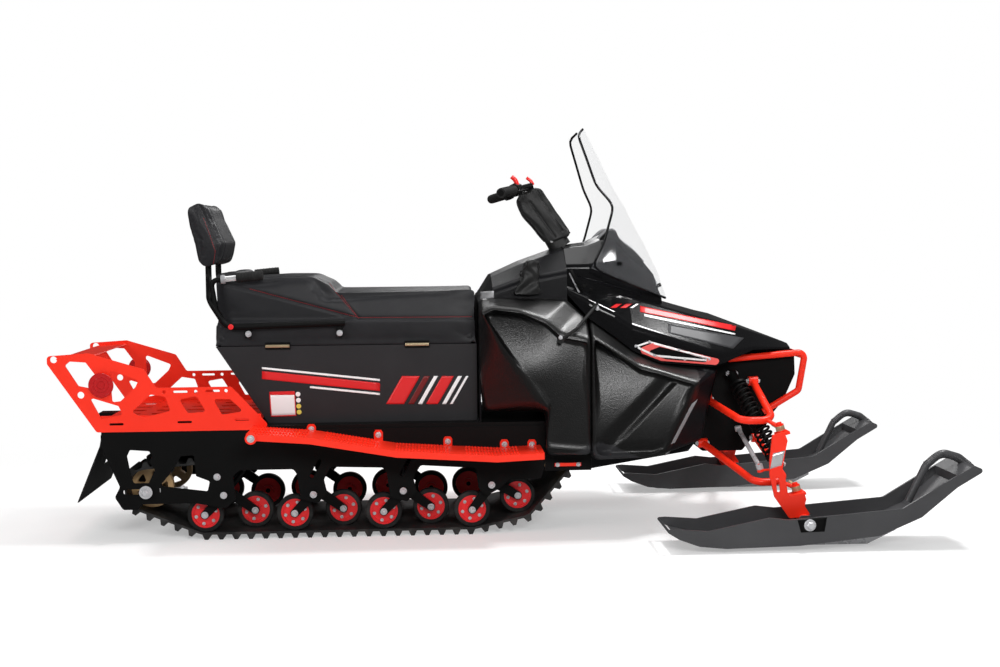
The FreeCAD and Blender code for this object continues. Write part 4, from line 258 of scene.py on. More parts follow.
FILM_GREY = finish("grey_film", COAT, (0.045, 0.045, 0.048), 0.35, gloss=0.3, peel=0.1)
FILM_YELLOW = finish("yellow_film", COAT, (0.75, 0.62, 0.10), 0.3, peel=0.05)
VENT_RED = finish("vent_frame_red", COAT, (0.80, 0.10, 0.09), 0.3, gloss=0.5, peel=0.05)
LENS_RED = finish("red_lens", MOULDED, (0.45, 0.010, 0.012), 0.15, coat=0.6, cells=160.0, depth=0.5)
LENS_CLEAR = finish("lamp_lens", MOULDED, (0.45, 0.46, 0.48), 0.1, coat=0.8, cells=120.0, depth=0.6)
LEVER_RED = finish("lever_red", MOULDED, (0.80, 0.012, 0.010), 0.3, cells=900.0, depth=0.05)
THREAD = finish("red_thread", COAT, (0.30, 0.010, 0.014), 0.7, peel=0.5)


# Thin clear plastic

CLEAR = plain_material("clear_sheet", (0.93, 0.95, 0.96, 0.3), (
    ("Base Color", (0.40, 0.41, 0.43, 1)), ("Roughness", 0.03), ("Alpha", 0.06), ("Specular IOR Level", 0.04)))[0]

NODE_FINISH = (
    (BELT, "track"),
    (TYRE, "wheel_tyres"),
    (WHEEL_RED, "wheel_discs"),
    (PLATE_BLACK, "bogie_arms drive_shaft frame_plates tunnel tow_hitch box_hinges lid_hinges backrest_frame "
                  "bulkhead shocks steering_post handlebar hand_levers steering_bearing shock_springs"),
    (TAN, "rear_idlers drive_sprockets"),
    (ZINC, "rear_axle tie_rod_right tie_rod_left ski_runner_right ski_runner_left"),
    (FLAP, "mud_flap"),
    (ORANGE, "rack_sides rack_deck rack_tail_panel footboards bumper upper_arms lower_arms spindle_right "
             "spindle_left"),
    (LENS_RED, "tail_lamps"),
    (CHARCOAL, "cargo_box"),
    (SEAT_HIDE, "seat_base seat_cushion backrest_pad"),
    (GRIP, "grab_handles hand_grips hood_straps"),
    (FINE_BLACK, "belly_pan console"),
    (ALLOY, "engine_block"),
    (SKI_BLACK, "ski_right ski_left ski_loop_right ski_loop_left"),
    (GAITER_HIDE, "riser_cover shift_gaiter"),
    (COARSE_BLACK, "knee_panels side_panels"),
    (GLOSS_BLACK, "hood head_lamps"),
    (CLEAR, "windshield"),
    (VENT_RED, "hood_vents"),
)
for material, labels in NODE_FINISH:
    for label in labels.split():
        for holder in NODES[label].material_slots:
            holder.material = material

# Surfaces worked out on grids

SAME_PLACE = 0.00002


def grid_faces(rows, columns, wrap_rows=False, wrap_columns=True):
    """Quads of a grid of points, as an array of four indices a face."""
    r = np.arange(rows if wrap_rows else rows - 1)
    c = np.arange(columns if wrap_columns else columns - 1)
    r, c = [a.ravel() for a in np.meshgrid(r, c, indexing="ij")]
    r1, c1 = (r + 1) % rows, (c + 1) % columns
    return np.stack([r * columns + c, r1 * columns + c, r1 * columns + c1, r * columns + c1], axis=1)


def tiled(shapes):
    """Joins (points, faces) pairs into one."""
    points, faces, start = [], [], 0
    for some_points, some_faces in shapes:
        some_points = np.asarray(some_points, float).reshape(-1, 3)
        points.append(some_points)
        faces.append(np.asarray(some_faces) + start)
        start += len(some_points)
    return np.concatenate(points), np.concatenate(faces)


def mirrored(shape):
    """A (points, faces) pair seen in the middle plane, its faces turned to stay outward."""
    points, faces = shape
    return np.asarray(points, float).reshape(-1, 3) * (1, -1, 1), np.asarray(faces)[:, ::-1]


def linked(name, data):
    """An object of some data, linked to the scene."""
    item = bpy.data.objects.new(name, data)
    bpy.context.scene.collection.objects.link(item)
    return item


def put_mesh(name, shape, material, body, slot_name, closed=True, wall=0.0, smooth_angle=40.0):
    """A mesh object at the origin that rides on a body: doubles merged, closed shapes turned outward."""
    points, faces = shape
    mesh = bpy.data.meshes.new(name)
    mesh.from_pydata(np.asarray(points, float).reshape(-1, 3).tolist(), [], np.asarray(faces).tolist())
    work = bmesh.new()
    work.from_mesh(mesh)
    bmesh.ops.remove_doubles(work, verts=work.verts, dist=SAME_PLACE)
    if closed:
        bmesh.ops.recalc_face_normals(work, faces=work.faces)
    work.to_mesh(mesh)
    work.free()
    mesh.polygons.foreach_set("use_smooth", np.ones(len(mesh.polygons), bool))
    mesh.set_sharp_from_angle(angle=math.radians(smooth_angle))
    mesh.materials.append(material)
    item = linked(name, mesh)
    if wall:
        thick = item.modifiers.new("wall", "SOLIDIFY")
        thick.thickness = wall
        thick.offset = -1.0
    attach(item, body)
    return item


def put_pair(name, shape, material, bodies, slot_name, **options):
    """A right-hand shape and its mirror image: one piece on one body, or one on each of two bodies."""
    if bodies[0] == bodies[1]:
        return [put_mesh(name, tiled([shape, mirrored(shape)]), material, bodies[0], slot_name, **options)]
    return [put_mesh(name + "_right", shape, material, bodies[0], slot_name, **options),
            put_mesh(name + "_left", mirrored(shape), material, bodies[1], slot_name, **options)]


def frames_along(path):
    """Tangent, side and up vectors at each point of a path, each side found from the last one."""
    ahead = np.roll(path, -1, 0) - np.roll(path, 1, 0)
    ahead[0], ahead[-1] = path[1] - path[0], path[-1] - path[-2]
    ahead /= np.linalg.norm(ahead, axis=1)[:, None]
    start = np.cross(ahead[0], (0.0, 0.0, 1.0))
    if np.linalg.norm(start) < 0.1:
        start = np.array((0.0, 1.0, 0.0))
    sides = [start / np.linalg.norm(start)]
    for tangent in ahead[1:]:
        side = sides[-1] - tangent * np.dot(sides[-1], tangent)
        sides.append(side / np.linalg.norm(side))
    sides = np.array(sides)
    return ahead, sides, np.cross(sides, ahead)


def carried(path, outline):
    """An outline (side, up) carried along a path: path + side * s + up * u, its ends drawn in to points."""
    path, outline = np.asarray(path, float), np.asarray(outline, float)
    _, sides, ups = frames_along(path)
    rings = path[:, None] + sides[:, None] * outline[..., :1] + ups[:, None] * outline[..., 1:]
    ends = [np.repeat(path[i][None, None], rings.shape[1], 1) for i in (0, -1)]
    rings = np.concatenate([ends[0], rings, ends[1]])
    return rings, grid_faces(rings.shape[0], rings.shape[1])


def around(count):
    """Turns of a whole circle in equal steps."""
    return np.arange(count) * 2 * math.pi / count


def tube(path, radius, count=12):
    """A closed round tube along a path, its outline radius (cos t, sin t)."""
    turn = around(count)
    return carried(path, np.stack([radius * np.cos(turn), radius * np.sin(turn)], axis=1)[None])


def evened(line, rounds):
    """An open line with each inner point averaged with its neighbours, some times over."""
    for _ in range(rounds):
        line[1:-1] = (line[:-2] + 2 * line[1:-1] + line[2:]) / 4
    return line


def rounded_outline(corners, per_edge, rounds):
    """A closed outline with each edge split alike and its corners rounded by repeated averages."""
    part = np.arange(per_edge)[:, None] / per_edge
    points = (corners[:, None] + (np.roll(corners, -1, 0) - corners)[:, None] * part).reshape(-1, 2)
    for _ in range(rounds):
        points = (np.roll(points, 1, 0) + 2 * points + np.roll(points, -1, 0)) / 4
    return points


def softened(points, rounds=2):
    """A path with its corners cut round by repeated quarter points, its ends kept."""
    path = np.asarray(points, float)
    for _ in range(rounds):
        near, far = path[:-1] * 0.75 + path[1:] * 0.25, path[:-1] * 0.25 + path[1:] * 0.75
        inner = np.stack([near, far], axis=1).reshape(-1, 3)
        path = np.concatenate([path[:1], inner[1:-1], path[-1:]])
    return path


def turned_at(profile, count, place, axis, wrap=False):
    """A profile of (radius, height) turned about an axis: place + r (side cos t + up sin t) + h axis."""
    axis = np.asarray(axis, float) / np.linalg.norm(axis)
    side = np.cross(axis, (0.0, 0.0, 1.0)) if abs(axis[2]) < 0.9 else np.cross(axis, (1.0, 0.0, 0.0))
    side = side / np.linalg.norm(side)
    up = np.cross(axis, side)
    profile = np.asarray(profile, float)
    turn = around(count)
    spoke = side[None] * np.cos(turn)[:, None] + up[None] * np.sin(turn)[:, None]
    points = np.asarray(place) + profile[:, None, :1] * spoke[None] + profile[:, None, 1:] * axis
    return points, grid_faces(len(profile), count, wrap)


def ring(place, axis, radius, wire, count=20, sides=6):
    """A closed ring of round wire about an axis."""
    turn = around(sides)
    profile = np.stack([radius + wire * np.cos(turn), wire * np.sin(turn)], axis=1)
    return turned_at(profile, count, place, axis, wrap=True)


def disc(place, axis, radius, thick, edge=0.25, count=28):
    """A round plate standing on a place, with its outer edge chamfered by a share of its thickness."""
    cut = thick * edge
    return turned_at([(0, 0), (radius, 0), (radius, thick - cut), (radius - cut, thick), (0, thick)], count, place,
                     axis)


def hex_bolt(place, axis, size):
    """A washer and a six-sided head with a chamfered crown, each closed at its axis."""
    head = [(0, size * 0.2), (size * 0.86, size * 0.2), (size * 0.86, size * 0.8), (size * 0.7, size * 0.95),
            (0, size * 0.95)]
    return tiled([disc(place, axis, size * 1.3, size * 0.22, count=18), turned_at(head, 6, place, axis)])


def plate(corners, normal, thick, chamfer=0.25):
    """A flat plate from its outline's corners: the outline, its raised copy and a slightly smaller top."""
    corners = np.asarray(corners, float)
    normal = np.asarray(normal, float) / np.linalg.norm(normal)
    centre = corners.mean(0)
    reach = np.linalg.norm(corners - centre, axis=1).mean()
    inset = centre + (corners - centre) * (1 - thick * chamfer / reach)
    levels = [np.repeat(centre[None], len(corners), 0), corners, corners + normal * thick * (1 - chamfer),
              inset + normal * thick, np.repeat(centre[None], len(corners), 0) + normal * thick]
    return np.stack(levels), grid_faces(5, len(corners))


# Where the camera's sight meets the object


def face_tree(*meshes):
    """A tree of the faces of meshes, to lay film, threads and fasteners on."""
    points, faces = [], []
    for mesh in meshes:
        start = len(points)
        points += [v.co.copy() for v in mesh.vertices]
        faces += [[start + i for i in p.vertices] for p in mesh.polygons]
    return BVHTree.FromPolygons(points, faces)


def skin_of(*labels):
    """A tree of the faces of CAD nodes."""
    return face_tree(*[NODES[label].data for label in labels])


def met(skin, pixel):
    """Where a pixel's line of sight first meets a skin, and the skin's normal there, or None."""
    way = sight(pixel)
    hit, normal, _, _ = skin.ray_cast(CAMERA_PLACE, way)
    if hit is None:
        return None
    return hit, normal if normal.dot(way) < 0 else -normal


def film_patch(corners, skin, lift, rows=18, columns=7):
    """Four pixels spanned by straight lines and laid on a skin: a + (b - a) u, then across by v."""
    a, b, c, d = [np.asarray(corner, float) for corner in corners]
    points, missed = [], []
    for u in np.linspace(0, 1, rows):
        for v in np.linspace(0, 1, columns):
            pixel = (a + (b - a) * u) * (1 - v) + (d + (c - d) * u) * v
            found = met(skin, pixel)
            missed += [pixel] if found is None else []
            points.append(None if found is None else found[0] + found[1] * lift)
    level = np.mean([p.y for p in points if p is not None])
    points = [seen_at(missed.pop(0), level) if p is None else p for p in points]
    points = np.array(points)
    faces = grid_faces(rows, columns, wrap_columns=False)
    first = points[faces[len(faces) // 2]]
    outward = np.cross(first[1] - first[0], first[2] - first[0])
    return points, faces if outward[1] < 0 else faces[:, ::-1]


def film(name, patches, skin, material, slot_name, bodies=CHASSIS, lift=0.0007, rows=18, columns=7, wall=0.0004):
    """Patches of film laid where the photograph shows them, with their mirror images."""
    shape = tiled([film_patch(corners, skin, lift, rows, columns) for corners in patches])
    return put_pair(name, shape, material, bodies, slot_name, closed=False, wall=wall)


def seen_bolts(name, pixels, skin, size, bodies=CHASSIS, material=ZINC, slot_name="zinc_steel"):
    """Bolt heads on a skin where the photograph shows them, with their mirror images."""
    shapes = [hex_bolt(*[np.array(v) for v in met(skin, pixel)], size) for pixel in pixels]
    return put_pair(name, tiled(shapes), material, bodies, slot_name)

# Film

CARGO_SKIN = skin_of("cargo_box")
HOOD_SKIN = skin_of("hood", "side_panels")



def leaning_bars(bars, low, top, lean):
    """Corner pixels of bars that lean forward between two levels, from (left pixel, width) pairs."""
    return [((left, low), (left + lean, top), (left + width + lean, top), (left + width, low))
            for left, width in bars]


BAR_LOW, BAR_TOP, BAR_LEAN = 404, 376, 16
film("box_streaks_red", [((262, 371), (380, 383), (380, 391), (262, 379))]
     + leaning_bars([(386, 18), (426, 12)], BAR_LOW, BAR_TOP, BAR_LEAN),
     CARGO_SKIN, FILM_RED, "gloss_black", lift=0.0009)
film("box_streaks_dark", leaning_bars([(408, 6)], BAR_LOW, BAR_TOP, BAR_LEAN), CARGO_SKIN, FILM_DARK, "gloss_black",
     lift=0.0011)
film("box_streaks_white", [((262, 367), (380, 379), (380, 381), (262, 369)),
                           ((310, 386), (380, 393), (380, 395), (310, 388))]
     + leaning_bars([(418, 4), (442, 4), (450, 2.5)], BAR_LOW, BAR_TOP, BAR_LEAN),
     CARGO_SKIN, FILM_WHITE, "gloss_black", lift=0.0013)
film("box_sticker_white", [((269.4, 394.4), (294.6, 394.2), (296, 415.4), (271, 416.2))], CARGO_SKIN, FILM_WHITE,
     "gloss_black", lift=0.0007)
film("box_sticker_band", [((269.2, 391.8), (294.4, 391), (294.6, 394.8), (269.4, 395)),
                          ((269.2, 391.8), (270.2, 391.8), (271.8, 416.4), (270.8, 416.4)),
                          ((270.8, 415.6), (296, 414.8), (296.1, 415.8), (270.9, 416.6)),
                          ((294, 391), (294.8, 391), (296.4, 415.6), (295.6, 415.6))],
     CARGO_SKIN, FILM_RED, "gloss_black", lift=0.0012)

DOT_RADIUS, DOT_THICK = 0.0085, 0.0012
for name, pixels, material in (("box_dots_white", [(298, 394.2), (298.4, 400.2)], FILM_WHITE),
                               ("box_dots_yellow", [(298.8, 406.2), (299.2, 412)], FILM_YELLOW)):
    dots = [disc(*[np.array(v) for v in met(CARGO_SKIN, pixel)], DOT_RADIUS, DOT_THICK, count=20) for pixel in pixels]
    put_pair(name, tiled(dots), material, CHASSIS, "gloss_black")

MARK_LOW, MARK_TOP, MARK_LEAN = 308, 304, 6
film("hood_field_grey", [((668, 324), (744, 338), (733, 348.8), (668, 333))], HOOD_SKIN, FILM_GREY, "gloss_black")
film("hood_streaks_red", [((640, 306), (736, 326), (735, 331), (640, 312))]
     + leaning_bars([(610, 6), (620, 6)], MARK_LOW, MARK_TOP, MARK_LEAN),
     HOOD_SKIN, FILM_RED, "gloss_black", lift=0.0010)
film("hood_streaks_white", [((644, 314), (735, 333.5), (735, 335), (644, 316.5))]
     + leaning_bars([(630, 3)], MARK_LOW, MARK_TOP, MARK_LEAN),
     HOOD_SKIN, FILM_WHITE, "gloss_black", lift=0.0013)
film("vent_inner_white", [
    ((636.6, 345.4), (649.6, 341), (650.2, 342.6), (637.8, 346.8)),
    ((650.6, 341.4), (710, 357.6), (708.6, 359.6), (650.6, 343.4)),
    ((637.6, 346.4), (654.6, 354.4), (654.4, 356.6), (637.8, 348.6)),
    ((654.8, 354.6), (708.6, 359.6), (708, 361.4), (654.8, 356.8)),
], skin_of("hood_vents", "hood"), FILM_WHITE, "gloss_black", lift=0.0008, wall=0.0006)
film("hood_bar_bright", [((641, 293.6), (641.2, 296.2), (580, 277), (577, 275))], HOOD_SKIN, FINE_BLACK,
     "gloss_black", lift=0.0025, wall=0.003)

# Moulded side shells

SHELL_DEEP_Y, SHELL_WIDE_Y = 0.2718, 0.380
CREST_ROUNDING = 0.020
SHELL_WALL = 0.003
SHELL_EDGE_POINTS, SHELL_ROUNDS = 22, 9
KNEE_PLACE = (-0.097, 0.285)
KNEE_SIZE = (0.385, 0.577)
KNEE_INNER_SHARES = [(0.0, 0.975), (0.25, 0.98), (0.50, 0.972), (0.80, 0.965), (0.914, 0.90), (1.0, 0.853),
                     (1.0, 0.34), (1.0, 0.0), (0.62, 0.0), (0.60, 0.28), (0.03, 0.28), (0.0, 0.48)]
KNEE_OUTER_SHARES = [(0.0, 0.90), (0.09, 0.935), (0.36, 0.915), (0.58, 0.853), (0.72, 0.775), (1.0, 0.735),
                     (1.0, 0.32), (1.0, 0.03), (0.577, 0.055), (0.605, 0.30), (0.532, 0.37), (0.184, 0.695)]
KNEE_HEART_SHARE = (0.76, 0.52)
SIDE_PLACE = (0.2883, 0.262)
SIDE_SIZE = (0.4717, 0.493)
SIDE_INNER_SHARES = [(0.0, 1.045), (0.20, 0.915), (0.335, 0.81), (0.54, 0.714), (0.933, 0.678), (0.99, 0.65),
                     (0.92, 0.39), (0.87, 0.14), (0.57, 0.047), (0.0, 0.0)]
SIDE_OUTER_SHARES = [(0.0, 0.932), (0.10, 0.875), (0.358, 0.718), (0.51, 0.681), (0.79, 0.584), (0.785, 0.56),
                     (0.731, 0.464), (0.55, 0.09), (0.47, 0.055), (0.0, 0.05)]
SIDE_HEART_SHARE = (0.36, 0.42)


def raised(outline, y):
    """An outline (x, z) stood on the upright plane at y of the right-hand side."""
    return np.stack([outline[:, 0], np.full(len(outline), -y), outline[:, 1]], axis=1)


def eased(value, low, high):
    """A smooth step from 0 at low to 1 at high."""
    share = np.clip((value - low) / (high - low), 0, 1)
    return share * share * (3 - 2 * share)


def shell_sheet(inner, outer, heart, fold, band=9, turn=7, face=44):
    """Rings of a side shell: a ruled band from the inner outline to the outer one, a crest rounded as
    (1 - u)^2 A + 2 u (1 - u) B + u^2 C, and straight lines from there to the heart; fold moves points inward."""
    low, high = raised(inner, SHELL_DEEP_Y), raised(outer, SHELL_WIDE_Y)
    middle = np.array((heart[0], -SHELL_WIDE_Y, heart[1]))
    rise = np.linalg.norm(high - low, axis=1)[:, None]
    reach = np.linalg.norm(middle - high, axis=1)[:, None]
    before = high + (low - high) * np.minimum(CREST_ROUNDING / rise, 0.5)
    after = high + (middle - high) * np.minimum(CREST_ROUNDING / reach, 0.5)
    rings = [low + (before - low) * t for t in np.linspace(0, 1, band)]
    rings += [before * (1 - u) ** 2 + high * 2 * u * (1 - u) + after * u * u for u in np.linspace(0, 1, turn)[1:]]
    rings += [after + (middle - after) * t for t in np.linspace(0, 1, face)[1:]]
    rings = np.stack(rings)
    on_face = np.linalg.norm(rings - high, axis=2) * (np.arange(len(rings)) >= band + turn - 2)[:, None]
    weight = eased(on_face, 0.0, 0.035)
    rings[..., 1] += fold(rings[..., 0], rings[..., 2]) * weight
    return rings, grid_faces(len(rings), len(outer))


KNEE_SUNK, KNEE_LEAN, KNEE_LEAN_FOOT_Z, KNEE_LEAN_LOSS = 0.008, 1.10, 0.56, 0.7
KNEE_SWELL, KNEE_SWELL_X, KNEE_SWELL_Z, KNEE_FRONT = 0.008, 0.060, 0.60, 0.012


def knee_fold(x, z):
    """Inward moves of the knee shell: the field above the foot hollow leans back as it rises, most at its rear."""
    lean = KNEE_LEAN * np.maximum(z - KNEE_LEAN_FOOT_Z, 0) ** 2 * (1 - KNEE_LEAN_LOSS * eased(x, 0.06, 0.24))
    swell = KNEE_SWELL * np.exp(-(((x - KNEE_SWELL_X) / 0.110) ** 2 + ((z - KNEE_SWELL_Z) / 0.100) ** 2))
    return KNEE_SUNK + lean - swell + KNEE_FRONT * eased(x, 0.12, 0.28) * eased(z, 0.50, 0.78)


BAND_TOP, BAND_LOW = np.array((0.560, 0.610)), np.array((0.322, 0.372))
BAND_DEPTH, BAND_WIDTH, BAND_EDGE = 0.014, 0.052, 0.018
SIDE_LEAN, SIDE_LEAN_FOOT_Z, SIDE_TUCK, SIDE_TUCK_Z = 0.75, 0.37, 0.03, 0.36


def side_fold(x, z):
    """Inward moves of the side shell: the rear field leans back as it rises, a slanted band falls from it,
    and the front field stands out again beyond the band's foot."""
    along = (BAND_LOW - BAND_TOP) / np.linalg.norm(BAND_LOW - BAND_TOP)
    across = (x - BAND_TOP[0]) * -along[1] + (z - BAND_TOP[1]) * along[0]
    lean = SIDE_LEAN * np.maximum(z - SIDE_LEAN_FOOT_Z, 0) ** 2
    band = BAND_DEPTH * (eased(across, -0.005, BAND_WIDTH) - eased(across, BAND_WIDTH, BAND_WIDTH + BAND_EDGE))
    return lean + band + SIDE_TUCK * eased(SIDE_TUCK_Z - z, 0.0, 0.10)


SKIRT_LINE = [(-0.10, 0.30), (0.142, 0.306), (0.235, 0.311), (0.281, 0.339), (0.316, 0.347), (0.369, 0.332),
              (0.457, 0.290), (0.60, 0.25)]
NOSE_TOP, NOSE_LOW = (0.672, 0.520), (0.556, 0.290)


def zoned(piece):
    """Gives the shell's smooth skirt and its smooth nose, in front of the bright strip, their own finishes."""
    piece.data.materials.append(SKIRT_BLACK)
    piece.data.materials.append(FINE_BLACK)
    centres = np.array([p.center for p in piece.data.polygons])
    skirt = np.array(SKIRT_LINE)
    low = centres[:, 2] < np.interp(centres[:, 0], skirt[:, 0], skirt[:, 1])
    nose = centres[:, 0] > np.interp(centres[:, 2], (NOSE_LOW[1], NOSE_TOP[1]), (NOSE_LOW[0], NOSE_TOP[0]))
    nose &= centres[:, 0] > NOSE_LOW[0]
    piece.data.polygons.foreach_set("material_index", np.where(nose, 2, np.where(low, 1, 0)))


def side_shell(name, node, inner, outer, heart, place, size, fold):
    """Both side shells of a node, as one piece that stands for it."""
    inner, outer = [rounded_outline(np.array(shares) * size + place, SHELL_EDGE_POINTS, SHELL_ROUNDS)
                    for shares in (inner, outer)]
    points, faces = shell_sheet(inner, outer, np.array(heart) * size + place, fold)
    lowest = np.argmin(points[0, :, 2])
    beside = (lowest + 1) % points.shape[1]
    facing = np.cross(points[1, lowest] - points[0, lowest], points[0, beside] - points[0, lowest])
    faces = faces if facing[2] < 0 else faces[:, ::-1]
    piece = put_pair(name, (points, faces), COARSE_BLACK, CHASSIS, "matte_black", closed=False, wall=SHELL_WALL,
                     smooth_angle=50.0)[0]
    zoned(piece)
    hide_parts(node)
    return piece


side_shell("knee_shells", "knee_panels", KNEE_INNER_SHARES, KNEE_OUTER_SHARES, KNEE_HEART_SHARE, KNEE_PLACE,
           KNEE_SIZE, knee_fold)
sides = side_shell("side_shells", "side_panels", SIDE_INNER_SHARES, SIDE_OUTER_SHARES, SIDE_HEART_SHARE,
                   SIDE_PLACE, SIDE_SIZE, side_fold)
film("side_strip_bright", [((691.5, 404), (697.5, 399), (669.5, 452.5), (664.5, 456))],
     face_tree(sides.data), ALLOY, "matte_black", lift=0.0012, rows=12, columns=5)

# Stuffed and soft pieces

CLOTH_FRAMES, CLOTH_PRESSURE = 20, 4.0


def joined_copy(name, labels):
    """A merged mesh object of copies of CAD nodes, at the origin."""
    work = bmesh.new()
    for label in labels:
        work.from_mesh(NODES[label].data)
    bmesh.ops.remove_doubles(work, verts=work.verts, dist=SAME_PLACE)
    mesh = bpy.data.meshes.new(name)
    work.to_mesh(mesh)
    work.free()
    return linked(name, mesh)


def settled(item):
    """The mesh that an object's modifiers make at this frame, given to the object with the modifiers gone."""
    mesh = bpy.data.meshes.new_from_object(item.evaluated_get(bpy.context.evaluated_depsgraph_get()))
    item.modifiers.clear()
    item.data = mesh
    return item


def triples(items, field):
    """A field of three numbers an item, as an array."""
    values = np.empty(len(items) * 3, np.float32)
    items.foreach_get(field, values)
    return values.reshape(-1, 3).astype(float)


def places_of(mesh):
    """The mesh's points as an array."""
    return triples(mesh.vertices, "co")


def normals_of(mesh):
    """The mesh's point normals as an array."""
    return triples(mesh.vertex_normals, "vector")


def set_places(mesh, points):
    """Gives the mesh's points new places."""
    mesh.vertices.foreach_set("co", points.astype(np.float32).ravel())
    mesh.update()


def stuffed(name, labels, material, body, voxel, cap, slack, held, dress):
    """A padded piece that stands for CAD solids: remeshed, drawn in by the slack, blown up as cloth with each
    point's move capped, subdivided once and then dressed with its seams. held(points) is 0 where it rests."""
    item = joined_copy(name, labels)
    remesh = item.modifiers.new("voxels", "REMESH")
    remesh.mode = "VOXEL"
    remesh.voxel_size = voxel
    settled(item)
    start = places_of(item.data)
    free = held(start)[:, None]
    drawn = start - normals_of(item.data) * slack * free
    set_places(item.data, drawn)
    cloth = item.modifiers.new("cloth", "CLOTH")
    cloth.settings.use_pressure = True
    cloth.settings.uniform_pressure_force = CLOTH_PRESSURE
    cloth.settings.effector_weights.gravity = 0.0
    cloth.collision_settings.use_collision = False
    cloth.point_cache.frame_start = 1
    cloth.point_cache.frame_end = CLOTH_FRAMES
    for step in range(1, CLOTH_FRAMES + 1):
        bpy.context.scene.frame_set(step)
    settled(item)
    bpy.context.scene.frame_set(1)
    move = places_of(item.data) - drawn
    far = np.linalg.norm(move, axis=1)[:, None]
    drawn = drawn + move * np.minimum(1.0, cap / np.maximum(far, 0.000001)) * free
    set_places(item.data, drawn)
    smoother = item.modifiers.new("rounder", "SUBSURF")
    smoother.levels = smoother.render_levels = 1
    settled(item)
    set_places(item.data, dress(places_of(item.data), normals_of(item.data)))
    item.data.polygons.foreach_set("use_smooth", np.ones(len(item.data.polygons), bool))
    item.data.materials.clear()
    item.data.materials.append(material)
    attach(item, body)
    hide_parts(*labels)
    return item


def gap_to_line(across, up, line):
    """Distance of points (across, up) from a line of straight runs."""
    best = np.full(len(across), 10.0)
    for (a0, u0), (a1, u1) in zip(line[:-1], line[1:]):
        run = np.array((a1 - a0, u1 - u0))
        share = np.clip(((across - a0) * run[0] + (up - u0) * run[1]) / (run @ run), 0, 1)
        best = np.minimum(best, np.hypot(across - a0 - share * run[0], up - u0 - share * run[1]))
    return best


def grooved(points, normals, across, up, line, depth, width, where):
    """Points moved inward along a seam drawn in (across, up) by depth exp(-(gap / width)^2), where allowed."""
    gap = gap_to_line(across, up, line)
    return points - normals * (depth * np.exp(-(gap / width) ** 2) * where)[:, None]


def stitched(name, lines, skin_item, body, pitch=0.0075, length=0.0052, radius=0.0008):
    """Rows of short threads laid on a soft piece along side-view lines, with their mirror images."""
    tree = face_tree(skin_item.data)
    shapes = []
    for line in lines:
        line = np.asarray(line, float)
        runs = np.linalg.norm(np.diff(line, axis=0), axis=1)
        along = np.concatenate([[0], np.cumsum(runs)])
        for start in np.arange(0, along[-1] - length, pitch):
            ends = []
            for at in (start, start + length / 2, start + length):
                x, z = np.interp(at, along, line[:, 0]), np.interp(at, along, line[:, 1])
                hit, normal, _, _ = tree.ray_cast(Vector((x, -0.5, z)), Vector((0, 1, 0)))
                if hit is not None and hit.y < 0:
                    ends.append(np.array(hit + normal * radius * 0.4))
            if len(ends) == 3:
                shapes.append(tube(ends, radius, 5))
    return put_pair(name, tiled(shapes), THREAD, (body, body), "vinyl")


SEAT_CREASE = [(-1.015, 0.914), (-0.905, 0.884), (-0.522, 0.778), (-0.112, 0.776)]
SEAT_SLOPE = [(-0.523, 0.779), (-0.632, 0.905)]
SEAT_CUFF = [(-0.523, 0.779), (-0.585, 0.862)]
SEAT_LEAN, SEAT_LEAN_RISE, SEAT_HALF_WIDTH = 0.010, 0.07, 0.21
CREASE_DEPTH, SLOPE_DEPTH, SEAM_WIDTH = 0.0035, 0.0022, 0.005
SEAT_HELD_Z, SEAT_FREE_Z = 0.688, 0.705


def seat_held(points):
    """The seat's underside stays where it rests on the box."""
    return eased(points[:, 2], SEAT_HELD_Z, SEAT_FREE_Z)


def seat_dressed(points, normals):
    """The seat's upper sides lean in above the crease, and its seams are pressed in."""
    crease = np.array(SEAT_CREASE)
    over = points[:, 2] - np.interp(points[:, 0], crease[:, 0], crease[:, 1])
    lean = SEAT_LEAN / SEAT_HALF_WIDTH * eased(over, 0, SEAT_LEAN_RISE)
    points[:, 1] *= 1 - lean * eased(np.abs(points[:, 1]), 0.08, 0.2)
    sides = eased(np.abs(normals[:, 1]), 0.4, 0.8)
    for line, depth in ((SEAT_CREASE, CREASE_DEPTH), (SEAT_SLOPE, SLOPE_DEPTH)):
        points = grooved(points, normals, points[:, 0], points[:, 2], line, depth, SEAM_WIDTH, sides)
    return points


seat = stuffed("seat_cover", ("seat_base", "seat_cushion"), SEAT_HIDE, "seat_lid", 0.007, 0.006, 0.004,
               seat_held, seat_dressed)
stitched("seat_thread", [[(x, z + 0.004) for x, z in SEAT_CREASE[1:]], SEAT_SLOPE, SEAT_CUFF], seat, "seat_lid")

PAD_SEAM = [(-1.086, 1.190), (-1.062, 1.140), (-1.039, 1.078), (-1.022, 1.022), (-1.032, 0.972)]
PAD_THREAD = [(x - 0.007, z) for x, z in PAD_SEAM[1:]]
PAD_FRONT_SEAM = [(0.108, 0.96), (0.100, 1.06), (0.112, 1.20)]
PAD_SEAM_DEPTH, PAD_FRONT_DEPTH, PAD_SEAM_WIDTH = 0.0018, 0.003, 0.006


def free_all_round(points):
    """Nothing of the piece is held."""
    return np.ones(len(points))


def pad_dressed(points, normals):
    """The side seam and the two front seams are pressed in."""
    sides = eased(np.abs(normals[:, 1]), 0.35, 0.7)
    front = eased(normals[:, 0], 0.2, 0.6)
    points = grooved(points, normals, points[:, 0], points[:, 2], PAD_SEAM, PAD_SEAM_DEPTH, PAD_SEAM_WIDTH,
                     sides)
    return grooved(points, normals, np.abs(points[:, 1]), points[:, 2], PAD_FRONT_SEAM, PAD_FRONT_DEPTH,
                   PAD_SEAM_WIDTH, front)


backrest = stuffed("backrest_cover", ("backrest_pad",), SEAT_HIDE, "seat_lid", 0.006, 0.006, 0.003,
                   free_all_round, pad_dressed)
stitched("backrest_thread", [PAD_THREAD], backrest, "seat_lid")

GAITER_FOLD = 0.0045


